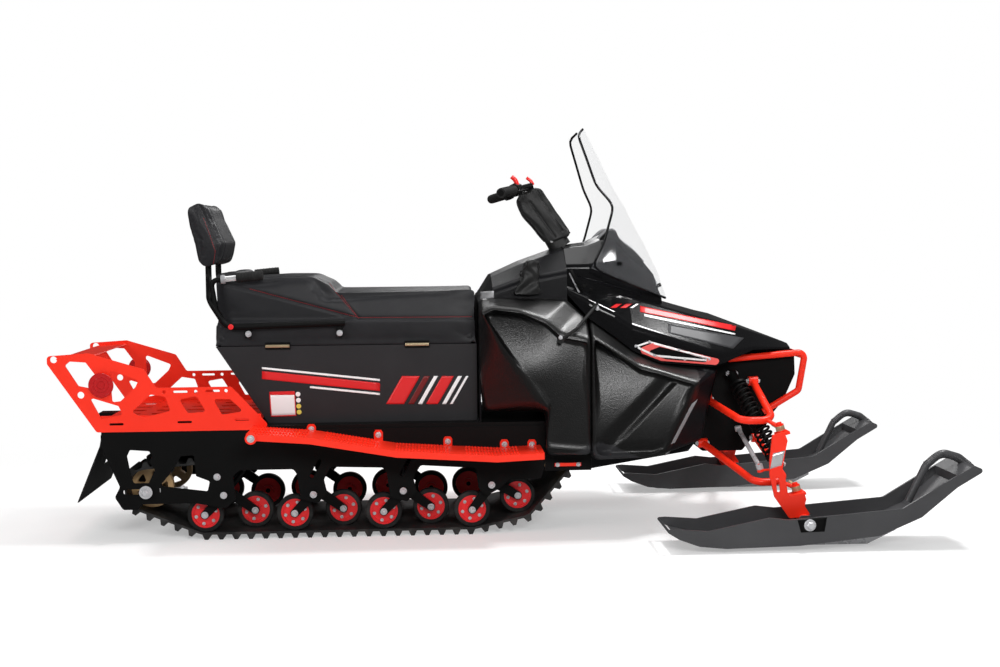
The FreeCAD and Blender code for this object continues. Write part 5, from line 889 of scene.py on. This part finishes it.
def gaiter_dressed(points, normals):
    """Slack folds: creases that wander up the bag, with a few that cross them."""
    middle = (points.min(0) + points.max(0)) / 2
    turn = np.arctan2(points[:, 1] - middle[1], points[:, 0] - middle[0])
    rise = points[:, 2] * 60
    creases = np.sin(5 * turn + 2.2 * np.sin(rise)) + 0.6 * np.sin(2.1 * rise + 2.4 * np.sin(2 * turn + 0.5))
    return points + normals * (GAITER_FOLD * (creases * 0.6 - 0.8))[:, None]


def gaiter_held(points):
    """The bag's foot stays on the console."""
    low = points[:, 2].min()
    return eased(points[:, 2], low + 0.004, low + 0.03)


stuffed("gaiter_cover", ("shift_gaiter",), GAITER_HIDE, "chassis", 0.004, 0.003, 0.003, gaiter_held,
        gaiter_dressed)

RISER_SEAM_DEPTH, RISER_SEAM_WIDTH, RISER_WAVE = 0.003, 0.004, 0.0012
RISER_SEAMS = [[(0.104, 1.190), (0.196, 1.062)], [(0.128, 1.235), (0.222, 1.085)]]


def riser_dressed(points, normals):
    """Two long seams down each side and a few shallow slack waves."""
    sides = eased(np.abs(normals[:, 1]), 0.4, 0.8)
    for line in RISER_SEAMS:
        points = grooved(points, normals, points[:, 0], points[:, 2], line, RISER_SEAM_DEPTH,
                         RISER_SEAM_WIDTH, sides)
    wave = np.sin(points[:, 0] * 95 + points[:, 2] * 40) * np.sin(points[:, 2] * 70)
    return points + normals * (RISER_WAVE * (wave - 1))[:, None]


stuffed("riser_bag", ("riser_cover",), GAITER_HIDE, "steering", 0.004, 0.003, 0.003,
        free_all_round, riser_dressed)

SKIRT_PATH = [(0.150, 0.0, 1.136), (0.180, 0.0, 1.088), (0.204, 0.0, 1.050), (0.221, 0.0, 1.023)]
SKIRT_HALF_WIDTH, SKIRT_HALF_LENGTH = 0.043, 0.036
SKIRT_FLARE = 1.12
STUD_COUNT, STUD_MIDDLE, STUD_SPREAD = 5, np.array((0.204, -0.0470, 1.060)), np.array((0.026, 0, 0.018))


def rounded_box(half_side, half_up, count=40, power=4):
    """Points of a rounded rectangle in a profile's plane: |x/a|^n + |y/b|^n = 1."""
    turn = around(count)
    reach = (np.abs(np.cos(turn)) ** power + np.abs(np.sin(turn)) ** power) ** (-1 / power)
    return np.stack([half_side * reach * np.cos(turn), half_up * reach * np.sin(turn)], axis=1)[None]


skirt_path = softened(SKIRT_PATH, 2)
widths = np.linspace(1.0, SKIRT_FLARE, len(skirt_path))[:, None, None]
skirt_shape = carried(skirt_path, rounded_box(SKIRT_HALF_WIDTH, SKIRT_HALF_LENGTH) * widths)
put_mesh("riser_skirt", skirt_shape, GAITER_HIDE, "steering", "matte_black")
shares = (np.arange(STUD_COUNT) + 0.5) / STUD_COUNT * 2 - 1
studs = [disc(STUD_MIDDLE + STUD_SPREAD * share, OUTWARD, 0.0055, 0.003, count=14) for share in shares]
put_pair("riser_studs", tiled(studs), CHROME, STEERING, "zinc_steel")

# Fasteners: half the width of each kind of head

VENT_HEAD, DISC_HEAD, STRAP_HEAD, GLASS_HEAD, BAR_HEAD = 0.0038, 0.0048, 0.0055, 0.006, 0.006
TAB_HEAD, RAIL_HEAD, PIVOT_HEAD, HUB_HEAD, PLATE_HEAD = 0.008, 0.0085, 0.009, 0.0095, 0.0095
LUG_HEAD, AXLE_HEAD, SKI_HEAD = 0.010, 0.012, 0.0155
PLATE_FACE_Y = -0.2772
PLATE_SKIN = skin_of("frame_plates", "bogie_arms", "rear_axle")


def bolts_at(name, places, axis, size):
    """Bolt heads of one size on one axis, with their mirror images."""
    return put_pair(name, tiled([hex_bolt(np.array(p, float), axis, size) for p in places]), ZINC, CHASSIS,
                    "zinc_steel")


def wheel_corners():
    """Lowest and highest corner of every road wheel, from the loose parts of the tyres' mesh."""
    work = bmesh.new()
    work.from_mesh(NODES["wheel_tyres"].data)
    bmesh.ops.remove_doubles(work, verts=work.verts, dist=SAME_PLACE)
    left, found = set(work.verts), []
    while left:
        front, part = [left.pop()], []
        while front:
            vert = front.pop()
            part.append(vert.co[:])
            for edge in vert.link_edges:
                other = edge.other_vert(vert)
                if other in left:
                    left.discard(other)
                    front.append(other)
        found.append((np.min(part, axis=0), np.max(part, axis=0)))
    work.free()
    return found


DISC_BOLT_COUNT, DISC_BOLT_CIRCLE, DISC_BOLT_SUNK, DISC_BOLT_TURN = 6, 0.036, 0.0085, math.radians(17)
ARM_SKIN = skin_of("bogie_arms", "wheel_discs", "wheel_tyres")
disc_bolts, hub_bolts = [], []
for low, high in wheel_corners():
    centre = (low + high) / 2
    if centre[1] > 0:
        continue
    for turn in around(DISC_BOLT_COUNT) + DISC_BOLT_TURN:
        disc_bolts.append((centre[0] + DISC_BOLT_CIRCLE * math.cos(turn), low[1] + DISC_BOLT_SUNK,
                           centre[2] + DISC_BOLT_CIRCLE * math.sin(turn)))
    cover = ARM_SKIN.ray_cast(Vector((centre[0], -0.6, centre[2])), Vector(INWARD))[0]
    hub_bolts.append((centre[0], cover.y, centre[2]))
bolts_at("wheel_disc_bolts", disc_bolts, OUTWARD, DISC_HEAD)
bolts_at("wheel_hub_bolts", hub_bolts, OUTWARD, HUB_HEAD)

seen_bolts("plate_bolts", [(217, 477), (223.7, 495.4), (313.4, 494.6), (403.3, 490.8), (491.7, 485)],
           PLATE_SKIN, PLATE_HEAD)
AXLE_PLACE, WASHER_RADIUS, WASHER_THICK = np.array((-1.271, -0.2862, 0.182)), 0.023, 0.004
put_pair("axle_washers", tiled([disc(AXLE_PLACE, OUTWARD, WASHER_RADIUS, WASHER_THICK),
                                hex_bolt(AXLE_PLACE + (0, -WASHER_THICK, 0), OUTWARD, AXLE_HEAD)]),
         ZINC, CHASSIS, "zinc_steel")

ADJUSTER_REAR, ADJUSTER_FRONT = np.array((-1.222, -0.268, 0.187)), np.array((-1.130, -0.268, 0.193))
ADJUSTER_NUT, ADJUSTER_END = 0.009, 0.02
adjuster_way = (ADJUSTER_FRONT - ADJUSTER_REAR) / np.linalg.norm(ADJUSTER_FRONT - ADJUSTER_REAR)
nut_profile = [(0, 0), (ADJUSTER_NUT, 0), (ADJUSTER_NUT, ADJUSTER_NUT), (0, ADJUSTER_NUT)]
put_pair("track_adjusters", tiled([
    tube([ADJUSTER_REAR, (ADJUSTER_REAR + ADJUSTER_FRONT) / 2, ADJUSTER_FRONT], ADJUSTER_NUT / 2),
    hex_bolt(ADJUSTER_REAR, -adjuster_way, ADJUSTER_NUT),
    turned_at(nut_profile, 6, ADJUSTER_FRONT - adjuster_way * ADJUSTER_END, adjuster_way)]),
         ZINC, CHASSIS, "zinc_steel")

seen_bolts("rail_bolts", [(248.4, 334), (339.6, 333)], skin_of("backrest_frame"), RAIL_HEAD, LID)
RAIL_CAP, CAP_RADIUS, CAP_THICK = np.array((-0.968, -0.2475, 0.757)), 0.0095, 0.004
put_pair("rail_caps", disc(RAIL_CAP, OUTWARD, CAP_RADIUS, CAP_THICK), FILM_RED, LID, "red_coat")

HINGE_MIDDLES = [(-0.810, -0.219, 0.6845), (-0.317, -0.219, 0.6845)]
HINGE_STEPS, HINGE_RADIUS = np.array([(-0.042, 0, 0), (0, 0, 0), (0.042, 0, 0)]), 0.0054
put_mesh("hinge_knuckles", tiled([tube(np.array(middle) + HINGE_STEPS, HINGE_RADIUS) for middle in HINGE_MIDDLES]),
         BRASS, "chassis", "zinc_steel")

# Grab bars: the bright sleeve and collar behind each grip


def long_axis(points):
    """Middle and direction of a long thin cloud of points."""
    middle = points.mean(0)
    way = np.linalg.svd(points - middle)[2][0]
    return middle, way * np.sign(way[0])


def right_points(label):
    """The points of a CAD node on the rider's right."""
    points = places_of(NODES[label].data)
    return points[points[:, 1] < 0]


grip_points = right_points("grab_handles")
grip_middle, grip_way = long_axis(grip_points)
grip_half = np.abs((grip_points - grip_middle) @ grip_way).max()
grip_rear = grip_middle - grip_way * grip_half
SLEEVE_LENGTH, SLEEVE_RADIUS, COLLAR_RADIUS = 0.042, 0.0105, 0.015
sleeve_line = [grip_rear - grip_way * step for step in (-0.004, SLEEVE_LENGTH / 2, SLEEVE_LENGTH)]
put_pair("grab_sleeves", tube(sleeve_line, SLEEVE_RADIUS, 20), CHROME, LID, "zinc_steel")
collar_profile = [(0, 0), (COLLAR_RADIUS, 0), (COLLAR_RADIUS * 1.1, 0.006), (COLLAR_RADIUS, 0.014), (0, 0.014)]
put_pair("grab_collars", turned_at(collar_profile, 24, grip_rear - grip_way * (SLEEVE_LENGTH + 0.012), grip_way),
         ALLOY, LID, "zinc_steel")
put_pair("grab_ribs", tiled([ring(grip_middle + grip_way * s, grip_way, 0.0170, 0.0016)
                             for s in np.linspace(-grip_half, grip_half, 9)[1:-1]]), GRIP, LID, "rubber")

# Footboards: bolted tabs, tread teeth and cut-outs

TAB_PIXELS = [(311.4, 429.1), (378.4, 434.8), (447.8, 441.4), (504.4, 444.3), (531.9, 444.3)]
TAB_HALF, TAB_RISE, TAB_DROP, TAB_SHEET = 0.016, 0.018, 0.030, 0.003
LUG_PIXEL, LUG_Y, LUG_RADIUS, LUG_THICK = (250.8, 438.7), -0.4505, 0.020, 0.005
BOARD_SKIN = skin_of("footboards")


def board_top(x, y):
    """Height of the footboard's upper face at a place."""
    hit = BOARD_SKIN.ray_cast(Vector((x, y, 1.0)), Vector((0, 0, -1)))[0]
    return None if hit is None else hit.z


tab_shapes, tab_bolts = [], []
for pixel in TAB_PIXELS:
    spot = np.array(seen_at(pixel, PLATE_FACE_Y - 0.002))
    corners = [spot + (a * TAB_HALF, 0, b) for a, b in ((-1, -TAB_DROP), (1, -TAB_DROP), (1, TAB_RISE * 0.5),
                                                       (0.6, TAB_RISE), (-0.6, TAB_RISE), (-1, TAB_RISE * 0.5))]
    tab_shapes.append(plate(corners, OUTWARD, TAB_SHEET))
    tab_bolts.append(spot + (0, -TAB_SHEET, 0))
put_pair("board_tabs", tiled(tab_shapes), ORANGE, CHASSIS, "orange_coat")
bolts_at("board_tab_bolts", tab_bolts, OUTWARD, TAB_HEAD)
lug_spot = np.array(seen_at(LUG_PIXEL, LUG_Y))
put_pair("board_lugs", disc(lug_spot, OUTWARD, LUG_RADIUS, LUG_THICK), ORANGE, CHASSIS, "orange_coat")
bolts_at("board_lug_bolts", [lug_spot + (0, -LUG_THICK, 0)], OUTWARD, LUG_HEAD)

TOOTH_STEP, TOOTH_WIDTH, TOOTH_HEIGHT, TOOTH_SUNK = 0.011, 0.003, 0.006, 0.0003
GAPS_PER_METRE, GAP_LEVEL = 26, 0.75
TOOTH_ROWS = (-0.446, -0.400, -0.350, -0.300)
BOARD_SPAN = (-0.885, 0.100)


def tooth(x, y, z):
    """A tread tooth: a fin whose top is drawn in to a ridge across the board."""
    a, b = TOOTH_STEP * 0.42, TOOTH_WIDTH / 2
    corners = np.array([(-a, -b), (a, -b), (a, b), (-a, b)])
    rings = [np.zeros((4, 3)) + (x, y, z)]
    for share, rise in ((1.0, 0.0), (0.1, TOOTH_HEIGHT)):
        rings.append(np.stack([x + corners[:, 0] * share, y + corners[:, 1], np.full(4, z + rise)], axis=1))
    rings.append(np.zeros((4, 3)) + (x, y, z + TOOTH_HEIGHT))
    return np.stack(rings), grid_faces(4, 4)


teeth = []
for y in TOOTH_ROWS:
    for x in np.arange(BOARD_SPAN[0], BOARD_SPAN[1], TOOTH_STEP):
        height = board_top(x, y)
        in_gap = math.sin(x * GAPS_PER_METRE) > GAP_LEVEL
        if height is not None and not in_gap:
            teeth.append(tooth(x, y, height - TOOTH_SUNK))
put_pair("board_teeth", tiled(teeth), ORANGE, CHASSIS, "orange_coat", smooth_angle=20.0)

# Front suspension: pivot bolts, shock bolts, rod ends

ARM_PIVOTS = [(0.743, 0.463, 0.150), (0.914, 0.527, 0.150), (0.733, 0.296, 0.125), (0.935, 0.312, 0.125)]
PIVOT_HALF, SHOCK_EYE_HALF = 0.0175, 0.0135
SHOCK_EYES = [(0.836, -0.150, 0.556), (0.946, -0.396, 0.262)]
for end, way in (("front", 1), ("rear", -1)):
    bolts_at("arm_bolts_" + end, [(x + way * PIVOT_HALF, -y, z) for x, z, y in ARM_PIVOTS], (way, 0, 0), PIVOT_HEAD)
    bolts_at("shock_bolts_" + end, [(x + way * SHOCK_EYE_HALF, y, z) for x, y, z in SHOCK_EYES], (way, 0, 0),
             PIVOT_HEAD)

KING_TOP, KING_LOW = np.array((0.930, -0.460, 0.400)), np.array((0.988, -0.460, 0.189))
king_way = (KING_TOP - KING_LOW) / np.linalg.norm(KING_TOP - KING_LOW)
ROD_END_RADIUS, ROD_END_HALF = 0.0155, 0.011


def rod_end(place, way, toward):
    """A rod end: a barrel round the pin with rolled rims, and a shank that leads to its arm."""
    half = ROD_END_HALF
    barrel = turned_at([(0.0065, -half), (ROD_END_RADIUS * 0.9, -half), (ROD_END_RADIUS, -half * 0.7),
                        (ROD_END_RADIUS, half * 0.7), (ROD_END_RADIUS * 0.9, half), (0.0065, half)], 28, place, way,
                       wrap=True)
    toward = np.asarray(toward, float) / np.linalg.norm(toward)
    shank = tube([place + toward * ROD_END_RADIUS * 0.9, place + toward * 0.028, place + toward * 0.042], 0.0085)
    return tiled([barrel, shank])


rod_ends = tiled([rod_end(KING_TOP, king_way, (-0.35, 1.0, 0.22)), rod_end(KING_LOW, king_way, (-0.30, 1.0, 0.35))])
put_pair("rod_ends", rod_ends, BRASS, CHASSIS, "zinc_steel")
VENT_BOLT_PIXELS = [(649.4, 341.9), (678.7, 350.1), (635.8, 346.1), (654.4, 355.3), (684.8, 359.6), (709.6, 359.1)]
seen_bolts("vent_bolts", VENT_BOLT_PIXELS, skin_of("hood_vents", "hood"), VENT_HEAD)
seen_bolts("strap_studs", [(597.3, 308.5), (560.6, 337.5)], skin_of("hood_straps"), STRAP_HEAD)

# Skis: cheek plates, pivot bolts and the ribbed grips of the loops

SKI_SKIN = skin_of("ski_right")
CHEEK_PIXELS = ((797, 518), (827, 517.5), (824.5, 531.5), (801, 532.5))
put_pair("ski_cheeks", film_patch(CHEEK_PIXELS, SKI_SKIN, 0.001, 8, 8), PLATE_BLACK, SKIS, "black_metal",
         closed=False, wall=0.003)
seen_bolts("ski_bolts", [(810, 525.2)], SKI_SKIN, SKI_HEAD, SKIS)

RIB_COUNT, RIB_RADIUS, RIB_WIRE = 30, 0.0120, 0.0024
RIB_BINS = 40


def loop_ribs(node):
    """Rings along a ski loop: its middle line is the mean of its points by their turn about its foot."""
    points = places_of(NODES[node].data)
    low, high = points.min(0), points.max(0)
    centre = np.array(((low[0] + high[0]) / 2, low[2] + (high[2] - low[2]) * 0.15))
    turn = np.arctan2(points[:, 2] - centre[1], points[:, 0] - centre[0])
    edges = np.linspace(0.02, math.pi - 0.02, RIB_BINS + 1)
    line = []
    for a, b in zip(edges[:-1], edges[1:]):
        part = points[(turn >= a) & (turn <= b)]
        if len(part):
            line.append((part.min(0) + part.max(0)) / 2)
    line = np.array(line)
    line = evened(line, 3)
    along = np.concatenate([[0], np.cumsum(np.linalg.norm(np.diff(line, axis=0), axis=1))])
    stations = np.linspace(along[-1] * 0.08, along[-1] * 0.92, RIB_COUNT)
    path = np.stack([np.interp(stations, along, line[:, k]) for k in range(3)], axis=1)
    ahead = frames_along(path)[0]
    return tiled([ring(p, a, RIB_RADIUS, RIB_WIRE, 16) for p, a in zip(path, ahead)])


for side_name, body in (("right", SKIS[0]), ("left", SKIS[1])):
    put_mesh("loop_ribs_" + side_name, loop_ribs("ski_loop_" + side_name), SKI_BLACK, body, "matte_black")

# Painted reflection: a bright chrome film on each spindle plate stands in for a softbox reflection there.
film("spindle_painted_reflections", [((773, 453.5), (785, 450.5), (781.5, 465.5), (770, 469))],
     skin_of("spindle_right"), CHROME, "zinc_steel", SPINDLES, lift=0.0008, rows=8, columns=6)

# Windshield: black edge trims, and the instrument pod behind the glass

TRIM_RADIUS, TRIM_LEVELS, TRIM_LOW_Z, TRIM_TOP_Z = 0.0045, 46, 0.834, 1.452


def sheet_edge(node, low, high, count):
    """The right-hand edge of the clear sheet: its outermost point at each of many levels."""
    mesh = NODES[node].data
    points = places_of(mesh)
    edges = np.empty(len(mesh.edges) * 2, np.int32)
    mesh.edges.foreach_get("vertices", edges)
    starts, ends = points[edges.reshape(-1, 2)[:, 0]], points[edges.reshape(-1, 2)[:, 1]]
    line = []
    for level in np.linspace(low, high, count):
        crossing = (starts[:, 2] - level) * (ends[:, 2] - level) < 0
        a, b = starts[crossing], ends[crossing]
        cut = a + (b - a) * ((level - a[:, 2]) / (b[:, 2] - a[:, 2]))[:, None]
        line.append(cut[np.argmin(cut[:, 1])])
    return np.array(line)


edge_line = evened(sheet_edge("windshield", TRIM_LOW_Z, TRIM_TOP_Z, TRIM_LEVELS), 2)
edge_line[:, 1] += TRIM_RADIUS * 0.6
put_pair("windshield_trims", tube(edge_line, TRIM_RADIUS, 10), GLOSS_BLACK, CHASSIS, "gloss_black")
seen_bolts("windshield_bolts", [(584, 286), (590.5, 290)], skin_of("windshield", "hood"), GLASS_HEAD, CHASSIS,
           PLATE_BLACK, "black_metal")

POD_OUTLINE = [(0.325, 0.960), (0.350, 1.050), (0.386, 1.086), (0.412, 1.086), (0.425, 1.049), (0.480, 1.010),
               (0.520, 0.965), (0.500, 0.905), (0.400, 0.880), (0.330, 0.890)]
POD_HALF, POD_ROUND = 0.125, 0.014
RIDGE_YS, RIDGE_RADIUS = (0.045, 0.095), 0.0032
RIDGE_LINE = [(0.352, 1.056), (0.386, 1.0885), (0.411, 1.0885), (0.4245, 1.052), (0.480, 1.0125), (0.518, 0.968)]


def extruded(outline, half, edge, per_edge=6, rounds=3):
    """An (x, z) outline carried from -half to half along Y, its corners and its two rims rounded."""
    points = rounded_outline(np.array(outline), per_edge, rounds)
    centre = points.mean(0)
    reach = np.linalg.norm(points - centre, axis=1).mean()
    rings = []
    for side in (-1, 1):
        turn = np.linspace(0, math.pi / 2, 6)
        levels = [(half - edge + edge * math.cos(t), 1 - edge / reach * (1 - math.sin(t))) for t in turn]
        levels = [(half, 0.0)] + levels
        for y, share in levels if side < 0 else levels[::-1]:
            flat = centre + (points - centre) * share
            rings.append(np.stack([flat[:, 0], np.full(len(flat), side * y), flat[:, 1]], axis=1))
    return np.stack(rings), grid_faces(len(rings), len(points))


put_mesh("instrument_pod", extruded(POD_OUTLINE, POD_HALF, POD_ROUND), PLATE_BLACK, "chassis", "matte_black")
pod_ridges = [tube(softened([(x, -y, z) for x, z in RIDGE_LINE]), RIDGE_RADIUS, 8) for y in RIDGE_YS]
put_pair("pod_ridges", tiled(pod_ridges), ALLOY, CHASSIS, "zinc_steel")

LAMP_PLACE, LAMP_RADIUS = np.array((0.567, -0.050, 0.868)), 0.030
lamp_profile = [(0, 0.012), (LAMP_RADIUS * 0.5, 0.0108), (LAMP_RADIUS * 0.85, 0.0065), (LAMP_RADIUS, 0.0),
                (LAMP_RADIUS, -0.004), (0, -0.004)]
put_pair("head_lenses", tiled([turned_at(lamp_profile, 36, LAMP_PLACE, AHEAD),
                               ring(LAMP_PLACE, AHEAD, LAMP_RADIUS + 0.002, 0.003, 36)]), LENS_CLEAR, CHASSIS,
         "lamp_red")

# Handlebar: grip ribs, switch housings, kill lever and its mount

grip_cloud = right_points("hand_grips")
bar_middle, bar_way = long_axis(grip_cloud)
bar_way = bar_way if bar_way[1] < 0 else -bar_way
grip_cloud = grip_cloud - bar_middle
bar_half = np.abs(grip_cloud @ bar_way).max()
bar_radius = np.linalg.norm(grip_cloud - (grip_cloud @ bar_way)[:, None] * bar_way, axis=1).max()
put_pair("bar_ribs", tiled([ring(bar_middle + bar_way * s, bar_way, bar_radius - 0.0004, 0.0014, 22)
                            for s in np.linspace(-bar_half * 0.85, bar_half * 0.85, 15)]), GRIP, STEERING, "rubber")
HOUSING_HALF, HOUSING_RIM, HOUSING_EDGE, HOUSING_GAP = 0.020, 0.007, 0.004, 0.004
housing_place = bar_middle - bar_way * (bar_half + HOUSING_HALF + HOUSING_GAP)
rising = [(0, HOUSING_HALF), (bar_radius + HOUSING_EDGE, HOUSING_HALF), (bar_radius + HOUSING_RIM, HOUSING_HALF * 0.75)]
housing_profile = [(r, -h) for r, h in rising] + rising[::-1]
put_pair("switch_housings", turned_at(housing_profile, 8, housing_place, bar_way), PLATE_BLACK, STEERING,
         "black_metal", smooth_angle=25.0)
LEVERS = (
    ("kill_lever", [(0.024, -0.240, 1.276), (0.040, -0.240, 1.262), (0.047, -0.240, 1.230)], 0.008, LEVER_RED),
    ("lever_mount", [(0.040, -0.236, 1.228), (0.072, -0.236, 1.238), (0.100, -0.236, 1.244)], 0.011, PLATE_BLACK),
    ("lock_button", [(0.078, -0.232, 1.272), (0.092, -0.234, 1.262), (0.100, -0.236, 1.246)], 0.006, LEVER_RED),
)
for name, path, radius, material in LEVERS:
    put_mesh(name, tube(softened(path), radius), material, "steering",
             "red_coat" if material == LEVER_RED else "black_metal")

# Rear rack: lamp bezels and lens ribs

LAMP_X, LAMP_Z, LAMP_FACE_Y = -1.413, 0.562, -0.291
LENS_RINGS = ((0.002, 0.040, 0.0035, 40), (-0.0005, 0.026, 0.0012, 32), (-0.0005, 0.013, 0.0012, 24))
put_pair("tail_bezels", tiled([ring((LAMP_X, LAMP_FACE_Y + sunk, LAMP_Z), OUTWARD, radius, wire, count)
                               for sunk, radius, wire, count in LENS_RINGS]), LENS_RED, CHASSIS, "lamp_red")

LABEL_PIXELS = ((480.2, 291.8), (493.8, 291), (494, 298.6), (480.4, 299.4))
film("console_label", [LABEL_PIXELS], skin_of("console"), ALLOY, "zinc_steel", lift=0.0010, rows=8, columns=5)

TRACK_BAR = np.array(((0.168, -0.279, 0.253), (0.262, -0.279, 0.253)))
BAR_HALF, BAR_SHEET = 0.006, 0.004
bar_plate = [TRACK_BAR[end] + (0, 0, side * BAR_HALF) for end, side in ((0, -1), (1, -1), (1, 1), (0, 1))]
put_pair("track_bars", plate(bar_plate, OUTWARD, BAR_SHEET), ORANGE, CHASSIS, "orange_coat")
bolts_at("track_bar_bolts", [TRACK_BAR[0] + (0.010, -BAR_SHEET, 0), TRACK_BAR[1] + (-0.010, -BAR_SHEET, 0)],
         OUTWARD, BAR_HEAD)

SEAM_SKIN = skin_of("console", "hood")
film("console_seam_dark", [((559.5, 246.5), (561, 246.5), (583, 292), (581, 293))], SEAM_SKIN,
     PLATE_BLACK, "gloss_black", lift=0.0012, rows=14, columns=3)
film("console_seam_bright", [((568.6, 273), (570, 273), (580, 292.6), (578.4, 293.2))], SEAM_SKIN, ALLOY,
     "gloss_black", lift=0.0018, rows=10, columns=3)

# Studio

OBJECT_MIDDLE = Vector((0.0, 0.0, 0.5))
FLOOR_HALF, FLOOR_NEAR, FLOOR_FAR = 12.0, 1.45, 2.6
FLOOR_GREY, FLOOR_GLOW, FLOOR_MIRRORED = 0.68, 0.36, 0.10
SKY_LIGHT, SKY_MIRRORED, SKY_SEEN = 0.32, 0.07, 1.0
SOFTBOXES = (
    ("key_softbox", (0.6, -4.3, 2.35), (1.8, 0.8), 80.0),
    ("rear_softbox", (-3.6, -3.0, 2.6), (1.2, 1.2), 50.0),
    ("top_softbox", (-0.2, 0.6, 4.6), (4.0, 2.5), 85.0),
    ("far_softbox", (0.6, 4.2, 3.0), (2.4, 1.4), 40.0),
    ("hood_softbox", (2.15, -0.25, 3.9), (0.6, 0.6), 110),
)


def level_by_ray(tree, path, label, plain, chosen):
    """A strength: chosen for rays of one kind, plain (a number or a socket) for the others."""
    level = shade(tree, "ShaderNodeMapRange", (("To Max", chosen),), (("Value", path.outputs[label]),))
    if isinstance(plain, float):
        level.inputs["To Min"].default_value = plain
    else:
        tree.links.new(plain, level.inputs["To Min"])
    return level.outputs[0]


def studio_floor():
    """A pale floor that keeps the object's shadow near it, is plain white farther away and dim in mirrors."""
    made = bpy.data.materials.new("studio_floor")
    made.use_nodes = True
    tree = made.node_tree
    tree.nodes.clear()
    place = shade(tree, "ShaderNodeTexCoord").outputs["Object"]
    flat = shade(tree, "ShaderNodeMapping", (("Scale", (0.75, 1.0, 0.0)),), (("Vector", place),))
    reach = shade(tree, "ShaderNodeVectorMath", (), ((0, flat.outputs[0]),), operation="LENGTH")
    far = shade(tree, "ShaderNodeMapRange", (("From Min", FLOOR_NEAR), ("From Max", FLOOR_FAR)),
                (("Value", reach.outputs["Value"]),), interpolation_type="SMOOTHSTEP")
    path = shade(tree, "ShaderNodeLightPath")
    shown = shade(tree, "ShaderNodeMath", (), ((0, far.outputs[0]), (1, path.outputs["Is Camera Ray"])),
                  operation="MULTIPLY")
    paint = shade(tree, "ShaderNodeBsdfDiffuse", (("Color", (FLOOR_GREY, FLOOR_GREY, FLOOR_GREY, 1)),))
    glow = shade(tree, "ShaderNodeEmission", (("Strength", FLOOR_GLOW),))
    near = shade(tree, "ShaderNodeAddShader", (), ((0, paint.outputs[0]), (1, glow.outputs[0])))
    white = shade(tree, "ShaderNodeEmission", (("Strength", 1.0),))
    blend = shade(tree, "ShaderNodeMixShader", (), ((0, shown.outputs[0]), (1, near.outputs[0]), (2, white.outputs[0])))
    dim = shade(tree, "ShaderNodeEmission", (("Strength", FLOOR_MIRRORED),))
    chosen = shade(tree, "ShaderNodeMixShader", (), ((0, path.outputs["Is Glossy Ray"]), (1, blend.outputs[0]),
                                                    (2, dim.outputs[0])))
    shade(tree, "ShaderNodeOutputMaterial", (), (("Surface", chosen.outputs[0]),))
    half = FLOOR_HALF
    mesh = bpy.data.meshes.new("studio_floor")
    mesh.from_pydata([(-half, -half, 0), (half, -half, 0), (half, half, 0), (-half, half, 0)], [], [(0, 1, 2, 3)])
    mesh.materials.append(made)
    linked("studio_floor", mesh)


def studio_sky():
    """A world that is white where it is seen, dim where it is mirrored and a soft grey where it lights."""
    world = bpy.data.worlds.new("studio_sky")
    world.use_nodes = True
    bpy.context.scene.world = world
    tree = world.node_tree
    tree.nodes.clear()
    path = shade(tree, "ShaderNodeLightPath")
    strength = level_by_ray(tree, path, "Is Glossy Ray", SKY_LIGHT, SKY_MIRRORED)
    strength = level_by_ray(tree, path, "Is Camera Ray", strength, SKY_SEEN)
    back = shade(tree, "ShaderNodeBackground", (("Color", (1, 1, 1, 1)),), (("Strength", strength),))
    shade(tree, "ShaderNodeOutputWorld", (), (("Surface", back.outputs[0]),))


def softbox(name, place, size, power):
    """A rectangular lamp aimed at the object's middle."""
    lamp = bpy.data.lights.new(name, "AREA")
    lamp.shape = "RECTANGLE"
    lamp.size, lamp.size_y = size
    lamp.energy = power
    item = linked(name, lamp)
    item.location = place
    item.rotation_euler = (OBJECT_MIDDLE - Vector(place)).to_track_quat("-Z", "Y").to_euler()


def photo_camera():
    """The camera fitted to the photograph."""
    lens = bpy.data.cameras.new("photo_camera")
    lens.lens, lens.sensor_width, lens.clip_end = CAMERA_LENS, CAMERA_SENSOR, 200.0
    item = linked("photo_camera", lens)
    turn = Matrix((CAMERA_SIDE, CAMERA_TOP, -CAMERA_AHEAD)).transposed()
    item.matrix_world = Matrix.Translation(CAMERA_PLACE) @ turn.to_4x4()
    bpy.context.scene.camera = item


studio_floor()
studio_sky()
for box in SOFTBOXES:
    softbox(*box)
photo_camera()
bpy.context.scene.view_settings.view_transform = "Standard"
